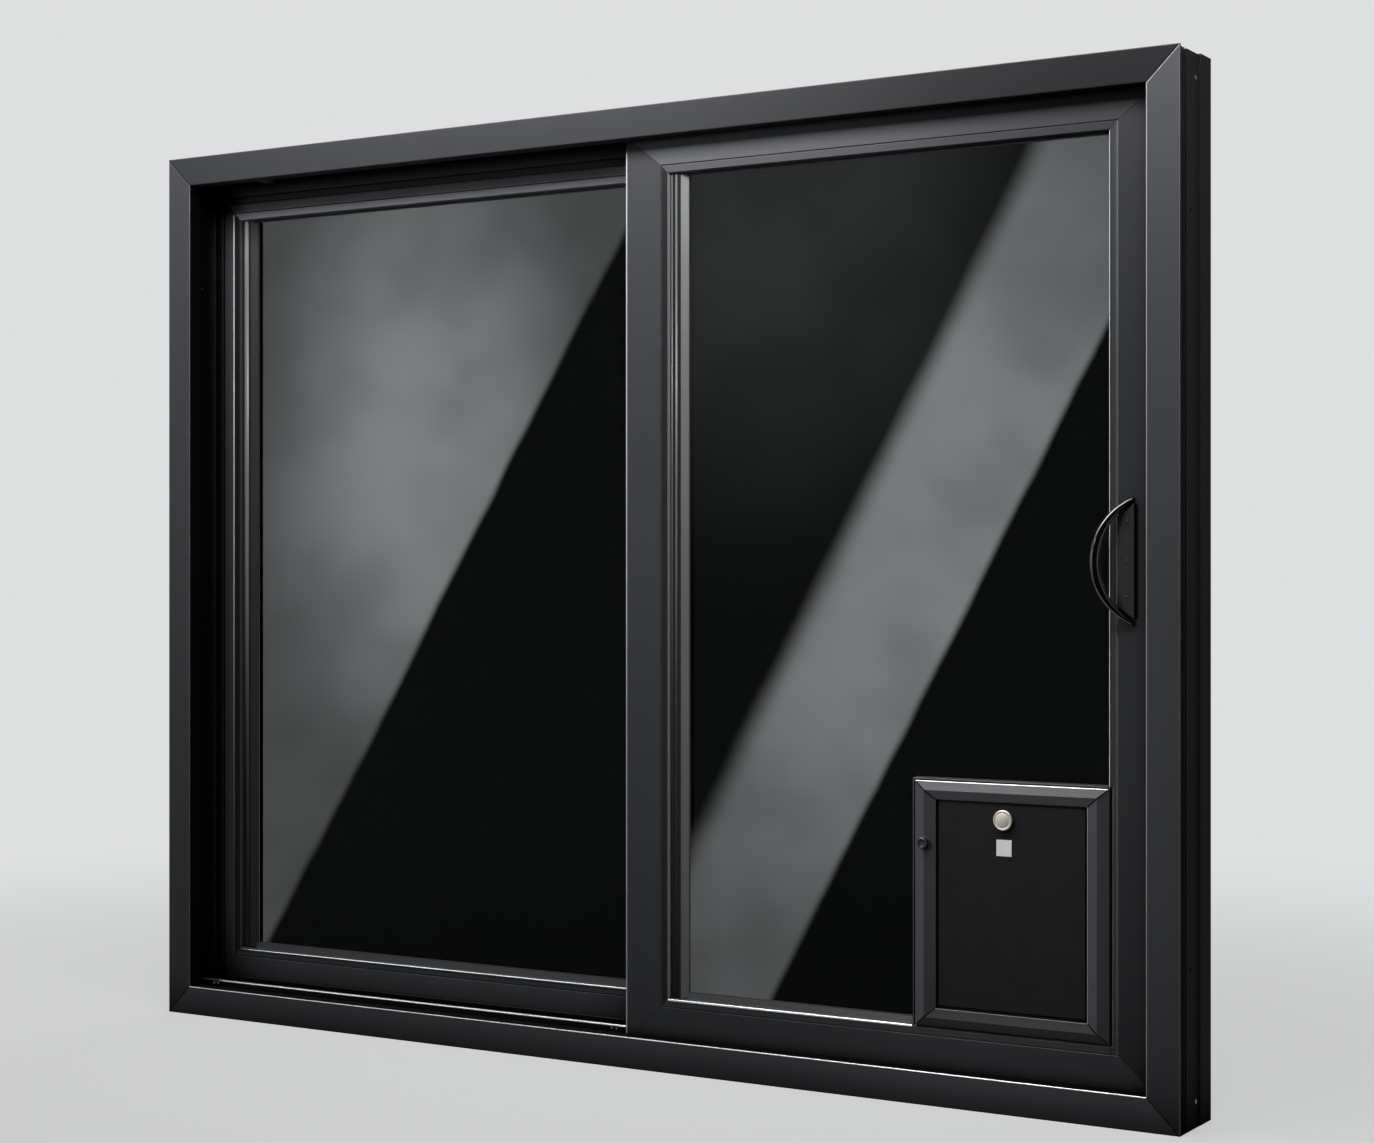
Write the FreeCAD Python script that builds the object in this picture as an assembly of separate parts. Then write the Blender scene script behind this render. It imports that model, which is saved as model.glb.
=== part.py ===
import FreeCAD, Part
import math
import os

from FreeCAD import Vector

# Glass sliding patio door, seen from the room: a fixed panel on the left, a sliding panel in
# front of it on the right, and a small pet door in the sliding panel's glass.
# Millimetres. X runs across the door from its centre, +Z is up, and the room is on the -Y side.
# The origin is the centre of the sill's underside.
# Along(x) is measured from the left outer edge and depth(d) back from the room-side face.

# Overall size
DOOR_WIDTH = 2505.0
DOOR_HEIGHT = 2020.0
FRAME_DEPTH = 168.0

# Outer frame section
FACE_WIDTH = 66.0
EDGE_CHAMFER = 1.5
HEAD_WALL = 40.0
SILL_WALL = 40.0
LEFT_WALL = 48.0
RIGHT_WALL = 46.0
REAR_LIP_DEPTH = 16.0
PARTING_DEPTH = 12.0
HEAD_PARTING_DROP = 21.0
REAR_LIP_HEIGHT = 60.0
OUTER_STEP = 2.5
OUTER_STEP_FRONT = 40.0
OUTER_STEP_REAR = 110.0
OUTER_RIDGE_WIDTH = 4.0
OUTER_RIDGE_DEPTHS = (14.0, 26.0)
CAP_DEPTH = 4.0

# Panels
PANEL_DEPTH = 42.0
RUN_CLEARANCE = 5.0
STILE_WIDTH = 87.0
FIXED_LEFT_STILE = 56.0
TOP_RAIL = 68.0
BOTTOM_RAIL = 77.0
PANEL_POCKET_TOP = 12.0
PANEL_POCKET_BOTTOM = 14.0
PANEL_POCKET_RIGHT = 15.0
PANEL_CHAMFER = 1.5
MEETING_OFFSET = 9.5
FIXED_SETTING_GAP = 4.0
GROOVE_CHAMFER = 1.2

# Glazing beads and trims
BEAD_WIDTH = 20.0
BEAD_EDGE = 3.5
BEAD_EDGE_DEPTH = 6.0
SIDE_TRIM_WIDTH = 39.0
SIDE_TRIM_FLAT = 24.0
SIDE_TRIM_DEPTH = 7.5
SIDE_TRIM_FOOT = 17.0
BOTTOM_TRIM_WIDTH = 12.0
BOTTOM_TRIM_TOP = 8.0
BOTTOM_TRIM_FOOT = 14.0

# Double glazing
GLASS_FRONT = 20.0
PANE_THICKNESS = 3.0
GLASS_UNIT_DEPTH = 16.0
GLASS_EDGE_COVER = 14.0
SPACER_INSET = 2.0
SPACER_WIDTH = 9.0

# Stops that hold the fixed panel
STOP_DEPTH = 8.0
HEAD_STOP_REACH = 101.0
SIDE_STOP_REACH = 78.0
SILL_STOP_REACH = 81.0

# Track, rollers and travel
TRACK_HEIGHT = 37.5
TRACK_WEB = 6.0
TRACK_FOOT_WIDTH = 22.0
TRACK_FOOT_HEIGHT = 3.0
ROLLER_SEAT_GAP = 0.3
ROLLER_RADIUS = 12.0
ROLLER_FLANGE = 2.5
ROLLER_WIDTH = 14.0
ROLLER_TREAD = 8.0
AXLE_RADIUS = 3.0
ROLLER_INSET = 150.0
ROLLER_GROOVE_WIDTH = 26.0
ROLLER_HEADROOM = 6.0
BUMPER_LENGTH = 24.0
BUMPER_DEPTH = 28.0

# Interlock hooks between the meeting stiles
HOOK_THICKNESS = 3.0
HOOK_LENGTH = 20.0
HOOK_EDGE_INSET = 2.0
HOOK_STAND_OFF = 16.0
HOOK_TIP_GAP = 6.0
HOOK_END_MARGIN = 24.0

# Pull handle on the lock stile
HANDLE_CENTRE_HEIGHT = 1063.0
HANDLE_PLATE_RIGHT = 52.0
HANDLE_PLATE_WIDTH = 36.0
HANDLE_PLATE_LENGTH = 220.0
HANDLE_PLATE_FLAT = 167.0
HANDLE_PLATE_THICKNESS = 7.0
BOW_LENGTH = 243.0
BOW_SIDE_REACH = 68.0
BOW_FRONT_REACH = 45.0
BOW_THICKNESS = 18.0
BOW_END_THICKNESS = 11.0
BOW_WIDTH = 16.0
BOW_FOOT_INSET = 6.0
BOW_ROUNDING = 3.0

# Pull on the outdoor side
OUTER_PULL_LENGTH = 200.0
OUTER_PULL_WIDTH = 24.0
OUTER_PULL_BASE = 4.0
OUTER_PULL_PROJECTION = 38.0
OUTER_PULL_BAR = 10.0
OUTER_PULL_FOOT = 18.0
OUTER_PULL_CORNER = 12.0
OUTER_PULL_STOP_GAP = 18.0

# Lock keeper in the jamb
KEEPER_LENGTH = 130.0
KEEPER_WIDTH = 26.0
KEEPER_THICKNESS = 3.0
KEEPER_SLOT_LENGTH = 60.0
KEEPER_SLOT_WIDTH = 10.0

# Pet door
PET_WIDTH = 420.5
PET_HEIGHT = 492.0
PET_RIGHT_INSET = 98.0
PET_BOTTOM_INSET = 91.8
PET_RIM_WIDTH = 2.5
PET_RIM_HEIGHT = 5.0
PET_MEMBER_SIDE_GAP = 6.5
PET_MEMBER_END_GAP = 4.0
PET_SIDE_MEMBER = 44.5
PET_END_MEMBER = 36.5
PET_FLANGE_FRONT = 8.0
PET_MEMBER_EDGE = 8.0
PET_MEMBER_CREASE = 16.0
PET_BEAD_CLEARANCE = 0.3
TUNNEL_LEDGE = 11.5
TUNNEL_WALL = 8.0
GLASS_CUT_CLEARANCE = 0.5
OUTSIDE_FRAME_MARGIN = 42.0
FLAP_FRONT = 26.0
FLAP_THICKNESS = 4.0

# Pet door cover and its fittings
COVER_GAP = 5.0
COVER_THICKNESS = 5.0
COVER_EDGE_CHAMFER = 1.0
COVER_KNOB_OFFSET = -13.7
COVER_KNOB_FROM_TOP = 33.5
COVER_KNOB_RADIUS = 20.0
COVER_KNOB_NECK = 8.0
COVER_KNOB_NECK_LENGTH = 4.0
COVER_KNOB_HEAD = 6.5
COVER_KNOB_ROUNDING = 2.5
COVER_KNOB_DOME = 0.8
BADGE_SIZE = 32.0
BADGE_THICKNESS = 1.5
BADGE_BELOW_KNOB = 54.5
PIN_FROM_TOP = 86.0
PIN_KNOB_RADIUS = 11.0
PIN_KNOB_LENGTH = 8.0
PIN_KNOB_ROUNDING = 2.0
PIN_STEM_RADIUS = 3.5
PIN_STEM_LENGTH = 15.0
PIN_HOLE_CLEARANCE = 0.3
PIN_BOSS_RADIUS = 12.5
PIN_BOSS_RISE = 1.0

# Installation holes through the jambs
FIXING_HOLE_RADIUS = 4.0
FIXING_HOLE_END_DISTANCE = 300.0

# Worked out from the sizes above; the front lip is as deep as the panels leave it
PANEL_STACK = 2 * PANEL_DEPTH + 2 * RUN_CLEARANCE + PARTING_DEPTH + STOP_DEPTH
FRONT_LIP_DEPTH = FRAME_DEPTH - REAR_LIP_DEPTH - PANEL_STACK
SLIDER_FRONT = FRONT_LIP_DEPTH + RUN_CLEARANCE
SLIDER_REAR = SLIDER_FRONT + PANEL_DEPTH
PARTING_FRONT = SLIDER_REAR + RUN_CLEARANCE
STOP_FRONT = PARTING_FRONT + PARTING_DEPTH
FIXED_FRONT = STOP_FRONT + STOP_DEPTH
FIXED_REAR = FIXED_FRONT + PANEL_DEPTH
TRACK_CENTRE = SLIDER_FRONT + PANEL_DEPTH / 2
TRACK_TOP = SILL_WALL + TRACK_HEIGHT
GLASS_BACK = GLASS_FRONT + GLASS_UNIT_DEPTH
SIDE_SIGHT = BEAD_WIDTH + SIDE_TRIM_WIDTH
BOTTOM_SIGHT = BEAD_WIDTH + BOTTOM_TRIM_WIDTH
PANEL_TOP = DOOR_HEIGHT - FACE_WIDTH + PANEL_POCKET_TOP
PANEL_BOTTOM = FACE_WIDTH - PANEL_POCKET_BOTTOM
SLIDER_RIGHT = DOOR_WIDTH - FACE_WIDTH + PANEL_POCKET_RIGHT
SLIDER_LEFT = DOOR_WIDTH / 2 + MEETING_OFFSET
FIXED_LEFT = LEFT_WALL + FIXED_SETTING_GAP
FIXED_RIGHT = SLIDER_LEFT + STILE_WIDTH
PANEL_TRAVEL = SLIDER_RIGHT - STILE_WIDTH - FIXED_RIGHT - OUTER_PULL_STOP_GAP
FIXING_HOLE_HEIGHTS = (FIXING_HOLE_END_DISTANCE, DOOR_HEIGHT - FIXING_HOLE_END_DISTANCE)

SIDES = ("left", "right", "top", "bottom")
# A mitre cut runs on to this many times a member's width, past its deepest lip
MITRE_REACH = 3.0
# Two coordinates this close are the same
SAME = 1e-6


def along(x):
    """Place across the door of a distance from its left outer edge."""
    return x - DOOR_WIDTH / 2


def depth(d):
    """Place in Y of a distance back from the room-side face."""
    return d - FRAME_DEPTH / 2


def save(name, shape):
    """Write one piece to its own file."""
    os.makedirs("parts", exist_ok=True)
    shape.exportStep(f"parts/{name}.step")


def block(x_range, d_range, z_range):
    """Box between distances from the left edge, from the face and from the floor."""
    corner = Vector(along(x_range[0]), depth(d_range[0]), z_range[0])
    return Part.makeBox(
        x_range[1] - x_range[0], d_range[1] - d_range[0], z_range[1] - z_range[0], corner)


def prism(points, direction):
    """Solid of a closed outline of points, drawn out along a direction."""
    return Part.Face(Part.makePolygon(points + points[:1])).extrude(direction)


def bar(outline, side, rect):
    """Straight bar on one side of a rectangle (x0, z0, x1, z1).

    The outline's points are (distance in from the rectangle's side, depth from the face).
    """
    x0, z0, x1, z1 = rect
    places = {
        "left": lambda u, d: Vector(along(x0 + u), depth(d), z0),
        "right": lambda u, d: Vector(along(x1 - u), depth(d), z0),
        "top": lambda u, d: Vector(along(x0), depth(d), z1 - u),
        "bottom": lambda u, d: Vector(along(x0), depth(d), z0 + u),
    }
    upright = side in ("left", "right")
    run = Vector(0, 0, z1 - z0) if upright else Vector(x1 - x0, 0, 0)
    return prism([places[side](u, d) for u, d in outline], run)


def mitre_wedge(side, rect, widths):
    """Slab that trims a bar of one side to the mitres at its two corners."""
    x0, z0, x1, z1 = rect
    left, right = MITRE_REACH * widths["left"], MITRE_REACH * widths["right"]
    top, bottom = MITRE_REACH * widths["top"], MITRE_REACH * widths["bottom"]
    corners = {
        "left": [(x0, z0), (x0 + left, z0 + bottom), (x0 + left, z1 - top), (x0, z1)],
        "right": [(x1, z0), (x1 - right, z0 + bottom), (x1 - right, z1 - top), (x1, z1)],
        "top": [(x0, z1), (x0 + left, z1 - top), (x1 - right, z1 - top), (x1, z1)],
        "bottom": [(x0, z0), (x0 + left, z0 + bottom), (x1 - right, z0 + bottom), (x1, z0)],
    }
    points = [Vector(along(x), depth(-FRAME_DEPTH), z) for x, z in corners[side]]
    return prism(points, Vector(0, 3 * FRAME_DEPTH, 0))


def mitred_bar(outline, side, rect, widths):
    """Bar of one side of a rectangle, mitred at both ends."""
    return bar(outline, side, rect).common(mitre_wedge(side, rect, widths))


def all_sides(value):
    """The same width on each of the four sides."""
    return {side: value for side in SIDES}


# Outer frame

def outer_steps():
    """Outer edge of a jamb or head: a front cap, a ribbed recess and two steps outwards."""
    recess = 2 * OUTER_STEP
    points = [(EDGE_CHAMFER, 0.0), (0.0, EDGE_CHAMFER), (0.0, CAP_DEPTH), (recess, CAP_DEPTH)]
    for ridge in OUTER_RIDGE_DEPTHS:
        points += [(recess, ridge), (OUTER_STEP, ridge)]
        points += [(OUTER_STEP, ridge + OUTER_RIDGE_WIDTH), (recess, ridge + OUTER_RIDGE_WIDTH)]
    points += [(recess, OUTER_STEP_FRONT), (OUTER_STEP, OUTER_STEP_FRONT)]
    points += [(OUTER_STEP, OUTER_STEP_REAR), (0.0, OUTER_STEP_REAR), (0.0, FRAME_DEPTH)]
    return points


def flat_outer():
    """Outer edge of the sill: one flat underside."""
    return [(EDGE_CHAMFER, 0.0), (0.0, EDGE_CHAMFER), (0.0, FRAME_DEPTH)]


def frame_outline(outer, wall, parting_reach, rear_reach):
    """Section of a frame member, with a front lip, a parting leg and a rear lip."""
    inner = [
        (rear_reach, FRAME_DEPTH), (rear_reach, FIXED_REAR), (wall, FIXED_REAR),
        (wall, STOP_FRONT), (parting_reach, STOP_FRONT), (parting_reach, PARTING_FRONT),
        (wall, PARTING_FRONT), (wall, FRONT_LIP_DEPTH), (FACE_WIDTH, FRONT_LIP_DEPTH),
        (FACE_WIDTH, EDGE_CHAMFER), (FACE_WIDTH - EDGE_CHAMFER, 0.0),
    ]
    return outer + inner


def fixing_hole(wall_x, length, height):
    """Round hole across a jamb for an installation screw."""
    start = Vector(along(wall_x), depth(TRACK_CENTRE), height)
    return Part.makeCylinder(FIXING_HOLE_RADIUS, length, start, Vector(1, 0, 0))


def make_frame():
    """Head, sill and jambs, mitred at the corners."""
    rect = (0.0, 0.0, DOOR_WIDTH, DOOR_HEIGHT)
    widths = all_sides(FACE_WIDTH)
    steps = outer_steps()
    outlines = {
        "head": ("top", frame_outline(
            steps, HEAD_WALL, FACE_WIDTH + HEAD_PARTING_DROP, FACE_WIDTH)),
        "sill": ("bottom", frame_outline(flat_outer(), SILL_WALL, FACE_WIDTH, REAR_LIP_HEIGHT)),
        "left_jamb": ("left", frame_outline(steps, LEFT_WALL, FACE_WIDTH, FACE_WIDTH)),
        "right_jamb": ("right", frame_outline(steps, RIGHT_WALL, FACE_WIDTH, FACE_WIDTH)),
    }
    members = {
        name: mitred_bar(outline, side, rect, widths)
        for name, (side, outline) in outlines.items()
    }
    for height in FIXING_HOLE_HEIGHTS:
        members["left_jamb"] = members["left_jamb"].cut(fixing_hole(0.0, LEFT_WALL, height))
        hole = fixing_hole(DOOR_WIDTH - RIGHT_WALL, RIGHT_WALL, height)
        members["right_jamb"] = members["right_jamb"].cut(hole)
    members["right_jamb"] = members["right_jamb"].cut(keeper_body())
    for name, shape in members.items():
        save(f"frame_{name}", shape)


def keeper_body():
    """The lock keeper's plate, let into the right jamb's channel."""
    face = DOOR_WIDTH - RIGHT_WALL
    middle = TRACK_CENTRE
    return block(
        (face, face + KEEPER_THICKNESS),
        (middle - KEEPER_WIDTH / 2, middle + KEEPER_WIDTH / 2),
        (HANDLE_CENTRE_HEIGHT - KEEPER_LENGTH / 2, HANDLE_CENTRE_HEIGHT + KEEPER_LENGTH / 2))


def make_keeper():
    """Keeper plate with the slot that the lock's hook enters."""
    face = DOOR_WIDTH - RIGHT_WALL
    slot = block(
        (face, face + KEEPER_THICKNESS),
        (TRACK_CENTRE - KEEPER_SLOT_WIDTH / 2, TRACK_CENTRE + KEEPER_SLOT_WIDTH / 2),
        (HANDLE_CENTRE_HEIGHT - KEEPER_SLOT_LENGTH / 2,
         HANDLE_CENTRE_HEIGHT + KEEPER_SLOT_LENGTH / 2))
    save("lock_keeper", keeper_body().cut(slot))


def make_stops():
    """Head, side and sill stops, which hold the fixed panel from the room side."""
    end = FIXED_RIGHT
    d_range = (STOP_FRONT, FIXED_FRONT)
    side = block(
        (LEFT_WALL, SIDE_STOP_REACH), d_range, (SILL_WALL, DOOR_HEIGHT - HEAD_WALL))
    head = block(
        (SIDE_STOP_REACH, end), d_range,
        (DOOR_HEIGHT - HEAD_STOP_REACH, DOOR_HEIGHT - HEAD_WALL))
    sill = block((SIDE_STOP_REACH, end), d_range, (SILL_WALL, SILL_STOP_REACH))
    save("fixed_side_stop", side)
    save("fixed_head_stop", head)
    save("fixed_sill_stop", sill)


def make_track():
    """Track rail in the sill: a foot and an upright web with a round top."""
    x_range = (LEFT_WALL, DOOR_WIDTH - RIGHT_WALL)
    foot = block(
        x_range, (TRACK_CENTRE - TRACK_FOOT_WIDTH / 2, TRACK_CENTRE + TRACK_FOOT_WIDTH / 2),
        (SILL_WALL, SILL_WALL + TRACK_FOOT_HEIGHT))
    radius = TRACK_WEB / 2
    web = block(
        x_range, (TRACK_CENTRE - radius, TRACK_CENTRE + radius),
        (SILL_WALL, TRACK_TOP - radius))
    start = Vector(along(x_range[0]), depth(TRACK_CENTRE), TRACK_TOP - radius)
    crown = Part.makeCylinder(radius, x_range[1] - x_range[0], start, Vector(1, 0, 0))
    save("sill_track", foot.fuse([web, crown]).removeSplitter())


def make_bumper():
    """Rubber block in the head channel: the panel stops before its outdoor pull touches."""
    right = SLIDER_LEFT - PANEL_TRAVEL - RUN_CLEARANCE
    save("travel_bumper", block(
        (right - BUMPER_LENGTH, right),
        (TRACK_CENTRE - BUMPER_DEPTH / 2, TRACK_CENTRE + BUMPER_DEPTH / 2),
        (DOOR_HEIGHT - FACE_WIDTH + EDGE_CHAMFER, DOOR_HEIGHT - HEAD_WALL)))


# Panels

def member_outline(front, width):
    """Section of a stile or rail, without the lip behind the glass."""
    return [
        (PANEL_CHAMFER, front), (0.0, front + PANEL_CHAMFER), (0.0, front + PANEL_DEPTH),
        (width, front + PANEL_DEPTH), (width, front + GROOVE_CHAMFER),
        (width - GROOVE_CHAMFER, front),
    ]


def lip_outline(front, sight):
    """Section of the rear lip that the glass bears on, out to the sight line."""
    lip, rear = front + GLASS_BACK, front + PANEL_DEPTH
    return [(0.0, lip), (sight, lip), (sight, rear), (0.0, rear)]


def bead_outline(front):
    """Section of a glazing bead, flush with the panel's face."""
    back = front + GLASS_FRONT
    return [
        (0.0, back), (0.0, front + GROOVE_CHAMFER), (GROOVE_CHAMFER, front),
        (BEAD_WIDTH - BEAD_EDGE, front), (BEAD_WIDTH, front + BEAD_EDGE_DEPTH),
        (BEAD_WIDTH, back),
    ]


def side_trim_outline(front):
    """Section of the wide trim beside the left bead: a flat, then a slope to the glass."""
    back = front + GLASS_FRONT
    flat_end = BEAD_WIDTH + SIDE_TRIM_FLAT
    return [
        (BEAD_WIDTH, back), (BEAD_WIDTH, front + SIDE_TRIM_DEPTH),
        (flat_end, front + SIDE_TRIM_DEPTH), (SIDE_SIGHT, front + SIDE_TRIM_FOOT),
        (SIDE_SIGHT, back),
    ]


def bottom_trim_outline(front):
    """Section of the sloped trim above the bottom bead."""
    back = front + GLASS_FRONT
    return [
        (BEAD_WIDTH, back), (BEAD_WIDTH, front + BOTTOM_TRIM_TOP),
        (BOTTOM_SIGHT, front + BOTTOM_TRIM_FOOT), (BOTTOM_SIGHT, back),
    ]


def glass_rect(bead_rect, inset):
    """Rectangle of the glass or its spacer, inset from the glass edge."""
    x0, z0, x1, z1 = bead_rect
    cover = GLASS_EDGE_COVER
    return (
        x0 + SIDE_SIGHT - cover + inset, z0 + BOTTOM_SIGHT - cover + inset,
        x1 - BEAD_WIDTH + cover - inset, z1 - BEAD_WIDTH + cover - inset)


def panel_members(rect, widths, front):
    """The four mitred members of a panel, each with its lip behind the glass."""
    sights = {
        "left": SIDE_SIGHT, "right": BEAD_WIDTH, "top": BEAD_WIDTH, "bottom": BOTTOM_SIGHT}
    names = {
        "left": "left_stile", "right": "right_stile", "top": "top_rail", "bottom": "bottom_rail"}
    inner_rect = bead_rect_of(rect, widths)
    shapes = {}
    for side in SIDES:
        body = mitred_bar(member_outline(front, widths[side]), side, rect, widths)
        lip = mitred_bar(lip_outline(front, sights[side]), side, inner_rect, sights)
        shapes[names[side]] = body.fuse(lip).removeSplitter()
    return shapes


def panel_beads(bead_rect, front):
    """Four mitred beads, with the wide trims on the left and the bottom."""
    x0, z0, x1, z1 = bead_rect
    widths = all_sides(BEAD_WIDTH)
    beads = {side: mitred_bar(bead_outline(front), side, bead_rect, widths) for side in SIDES}
    trim_rect = (x0, z0 + BEAD_WIDTH, x1, z1 - BEAD_WIDTH)
    side_trim = bar(side_trim_outline(front), "left", trim_rect)
    beads["left"] = beads["left"].fuse(side_trim).removeSplitter()
    sill_rect = (x0 + SIDE_SIGHT, z0, x1 - BEAD_WIDTH, z1)
    bottom_trim = bar(bottom_trim_outline(front), "bottom", sill_rect)
    beads["bottom"] = beads["bottom"].fuse(bottom_trim).removeSplitter()
    return beads


def pane(rect, start):
    """One sheet of glass."""
    x0, z0, x1, z1 = rect
    return block((x0, x1), (start, start + PANE_THICKNESS), (z0, z1))


def spacer_ring(bead_rect, front):
    """Bar between the two sheets, all round their edges."""
    start = front + GLASS_FRONT + PANE_THICKNESS
    end = front + GLASS_BACK - PANE_THICKNESS
    ox0, oz0, ox1, oz1 = glass_rect(bead_rect, SPACER_INSET)
    ix0, iz0, ix1, iz1 = glass_rect(bead_rect, SPACER_INSET + SPACER_WIDTH)
    outer = block((ox0, ox1), (start, end), (oz0, oz1))
    return outer.cut(block((ix0, ix1), (start, end), (iz0, iz1)))


def bead_rect_of(rect, widths):
    """Rectangle inside a panel's members, which the beads fill."""
    x0, z0, x1, z1 = rect
    return (x0 + widths["left"], z0 + widths["bottom"],
            x1 - widths["right"], z1 - widths["top"])


def make_fixed_panel():
    """Fixed panel: members, beads, double glazing and its half of the interlock."""
    rect = (FIXED_LEFT, PANEL_BOTTOM, FIXED_RIGHT, PANEL_TOP)
    widths = {
        "left": FIXED_LEFT_STILE, "right": STILE_WIDTH, "top": TOP_RAIL, "bottom": BOTTOM_RAIL}
    bead_rect = bead_rect_of(rect, widths)
    for name, shape in panel_members(rect, widths, FIXED_FRONT).items():
        save(f"fixed_{name}", shape)
    for side, shape in panel_beads(bead_rect, FIXED_FRONT).items():
        save(f"fixed_{side}_bead", shape)
    glass = glass_rect(bead_rect, 0.0)
    save("fixed_inner_pane", pane(glass, FIXED_FRONT + GLASS_FRONT))
    save("fixed_outer_pane", pane(glass, FIXED_FRONT + GLASS_BACK - PANE_THICKNESS))
    save("fixed_spacer", spacer_ring(bead_rect, FIXED_FRONT))


def hook(outline):
    """Interlock strip of a section in (x, depth), over the clear height."""
    low = SILL_STOP_REACH + HOOK_END_MARGIN
    high = DOOR_HEIGHT - HEAD_STOP_REACH - HOOK_END_MARGIN
    points = [Vector(along(x), depth(d), low) for x, d in outline]
    return prism(points, Vector(0, 0, high - low))


def make_interlocks():
    """Two hooks that engage when the panel closes."""
    base = SLIDER_LEFT + HOOK_EDGE_INSET
    back = SLIDER_REAR + HOOK_STAND_OFF
    save("sliding_interlock", hook([
        (base, SLIDER_REAR), (base + HOOK_THICKNESS, SLIDER_REAR),
        (base + HOOK_THICKNESS, back - HOOK_THICKNESS), (base + HOOK_LENGTH, back - HOOK_THICKNESS),
        (base + HOOK_LENGTH, back), (base, back)]))
    tip = base + HOOK_THICKNESS + HOOK_TIP_GAP
    root = base + HOOK_LENGTH + HOOK_TIP_GAP
    face = SLIDER_REAR + RUN_CLEARANCE
    save("fixed_interlock", hook([
        (tip, face), (root + HOOK_THICKNESS, face), (root + HOOK_THICKNESS, FIXED_FRONT),
        (root, FIXED_FRONT), (root, face + HOOK_THICKNESS), (tip, face + HOOK_THICKNESS)]))


# Pet door places, from the sliding panel's right and bottom edges

PET_X1 = SLIDER_RIGHT - PET_RIGHT_INSET
PET_X0 = PET_X1 - PET_WIDTH
PET_Z0 = PANEL_BOTTOM + PET_BOTTOM_INSET
PET_Z1 = PET_Z0 + PET_HEIGHT
PET_RECT = (
    PET_X0 + PET_MEMBER_SIDE_GAP, PET_Z0 + PET_MEMBER_END_GAP,
    PET_X1 - PET_MEMBER_SIDE_GAP, PET_Z1 - PET_MEMBER_END_GAP)
PET_MEMBERS = {
    "left": PET_SIDE_MEMBER, "right": PET_SIDE_MEMBER,
    "top": PET_END_MEMBER, "bottom": PET_END_MEMBER}
PET_WINDOW = bead_rect_of(PET_RECT, PET_MEMBERS)
PET_PASSAGE = (
    PET_WINDOW[0] + TUNNEL_LEDGE, PET_WINDOW[1] + TUNNEL_LEDGE,
    PET_WINDOW[2] - TUNNEL_LEDGE, PET_WINDOW[3] - TUNNEL_LEDGE)
TUNNEL_LEFT = PET_PASSAGE[0] - TUNNEL_WALL
TUNNEL_TOP = PET_PASSAGE[3] + TUNNEL_WALL
FLANGE_DEPTH = SLIDER_FRONT + PET_FLANGE_FRONT


def roller_groove(rect):
    """Slot under the bottom rail that straddles the track."""
    roof = TRACK_TOP + ROLLER_SEAT_GAP + 2 * ROLLER_RADIUS + ROLLER_FLANGE + ROLLER_HEADROOM
    half = ROLLER_GROOVE_WIDTH / 2
    return block((rect[0], rect[2]), (TRACK_CENTRE - half, TRACK_CENTRE + half), (rect[1], roof))


def make_rollers(rect):
    """Two grooved wheels on axles, which carry the sliding panel on the track."""
    half_tread = ROLLER_TREAD / 2
    half_width = ROLLER_WIDTH / 2
    flange = ROLLER_RADIUS + ROLLER_FLANGE
    height = TRACK_TOP + ROLLER_SEAT_GAP + ROLLER_RADIUS
    wheels = []
    for x in (rect[0] + ROLLER_INSET, rect[2] - ROLLER_INSET):
        centre = Vector(along(x), depth(TRACK_CENTRE), height)
        outline = [
            (0.0, -half_width), (flange, -half_width), (ROLLER_RADIUS, -half_tread),
            (ROLLER_RADIUS, half_tread), (flange, half_width), (0.0, half_width)]
        points = [centre + Vector(0, y, r) for r, y in outline]
        face = Part.Face(Part.makePolygon(points + points[:1]))
        wheel = face.revolve(centre, Vector(0, 1, 0), 360)
        start = centre - Vector(0, ROLLER_GROOVE_WIDTH / 2, 0)
        axle = Part.makeCylinder(AXLE_RADIUS, ROLLER_GROOVE_WIDTH, start, Vector(0, 1, 0))
        wheels.append(wheel.fuse(axle))
    save("rollers", Part.makeCompound(wheels))


def make_sliding_panel():
    """Sliding panel: members, beads, glass with the pet door's corner cut away, rollers."""
    rect = (SLIDER_LEFT, PANEL_BOTTOM, SLIDER_RIGHT, PANEL_TOP)
    widths = {
        "left": STILE_WIDTH, "right": STILE_WIDTH, "top": TOP_RAIL, "bottom": BOTTOM_RAIL}
    bead_rect = bead_rect_of(rect, widths)
    groove = roller_groove(rect)
    for name, shape in panel_members(rect, widths, SLIDER_FRONT).items():
        save(f"sliding_{name}", shape if name == "top_rail" else shape.cut(groove))
    gap = PET_BEAD_CLEARANCE
    pet_room = block(
        (PET_X0 - gap, PET_X1 + gap), (SLIDER_FRONT, SLIDER_FRONT + GLASS_FRONT),
        (PET_Z0 - gap, PET_Z1 + gap))
    for side, shape in panel_beads(bead_rect, SLIDER_FRONT).items():
        save(f"sliding_{side}_bead", shape.cut(pet_room))
    corner = block(
        (TUNNEL_LEFT - GLASS_CUT_CLEARANCE, SLIDER_RIGHT), (SLIDER_FRONT, SLIDER_REAR),
        (PANEL_BOTTOM, TUNNEL_TOP + GLASS_CUT_CLEARANCE))
    glass = glass_rect(bead_rect, 0.0)
    save("sliding_inner_pane", pane(glass, SLIDER_FRONT + GLASS_FRONT).cut(corner))
    outer = pane(glass, SLIDER_FRONT + GLASS_BACK - PANE_THICKNESS)
    save("sliding_outer_pane", outer.cut(corner))
    save("sliding_spacer", sliding_spacer(bead_rect))
    make_rollers(rect)


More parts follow.
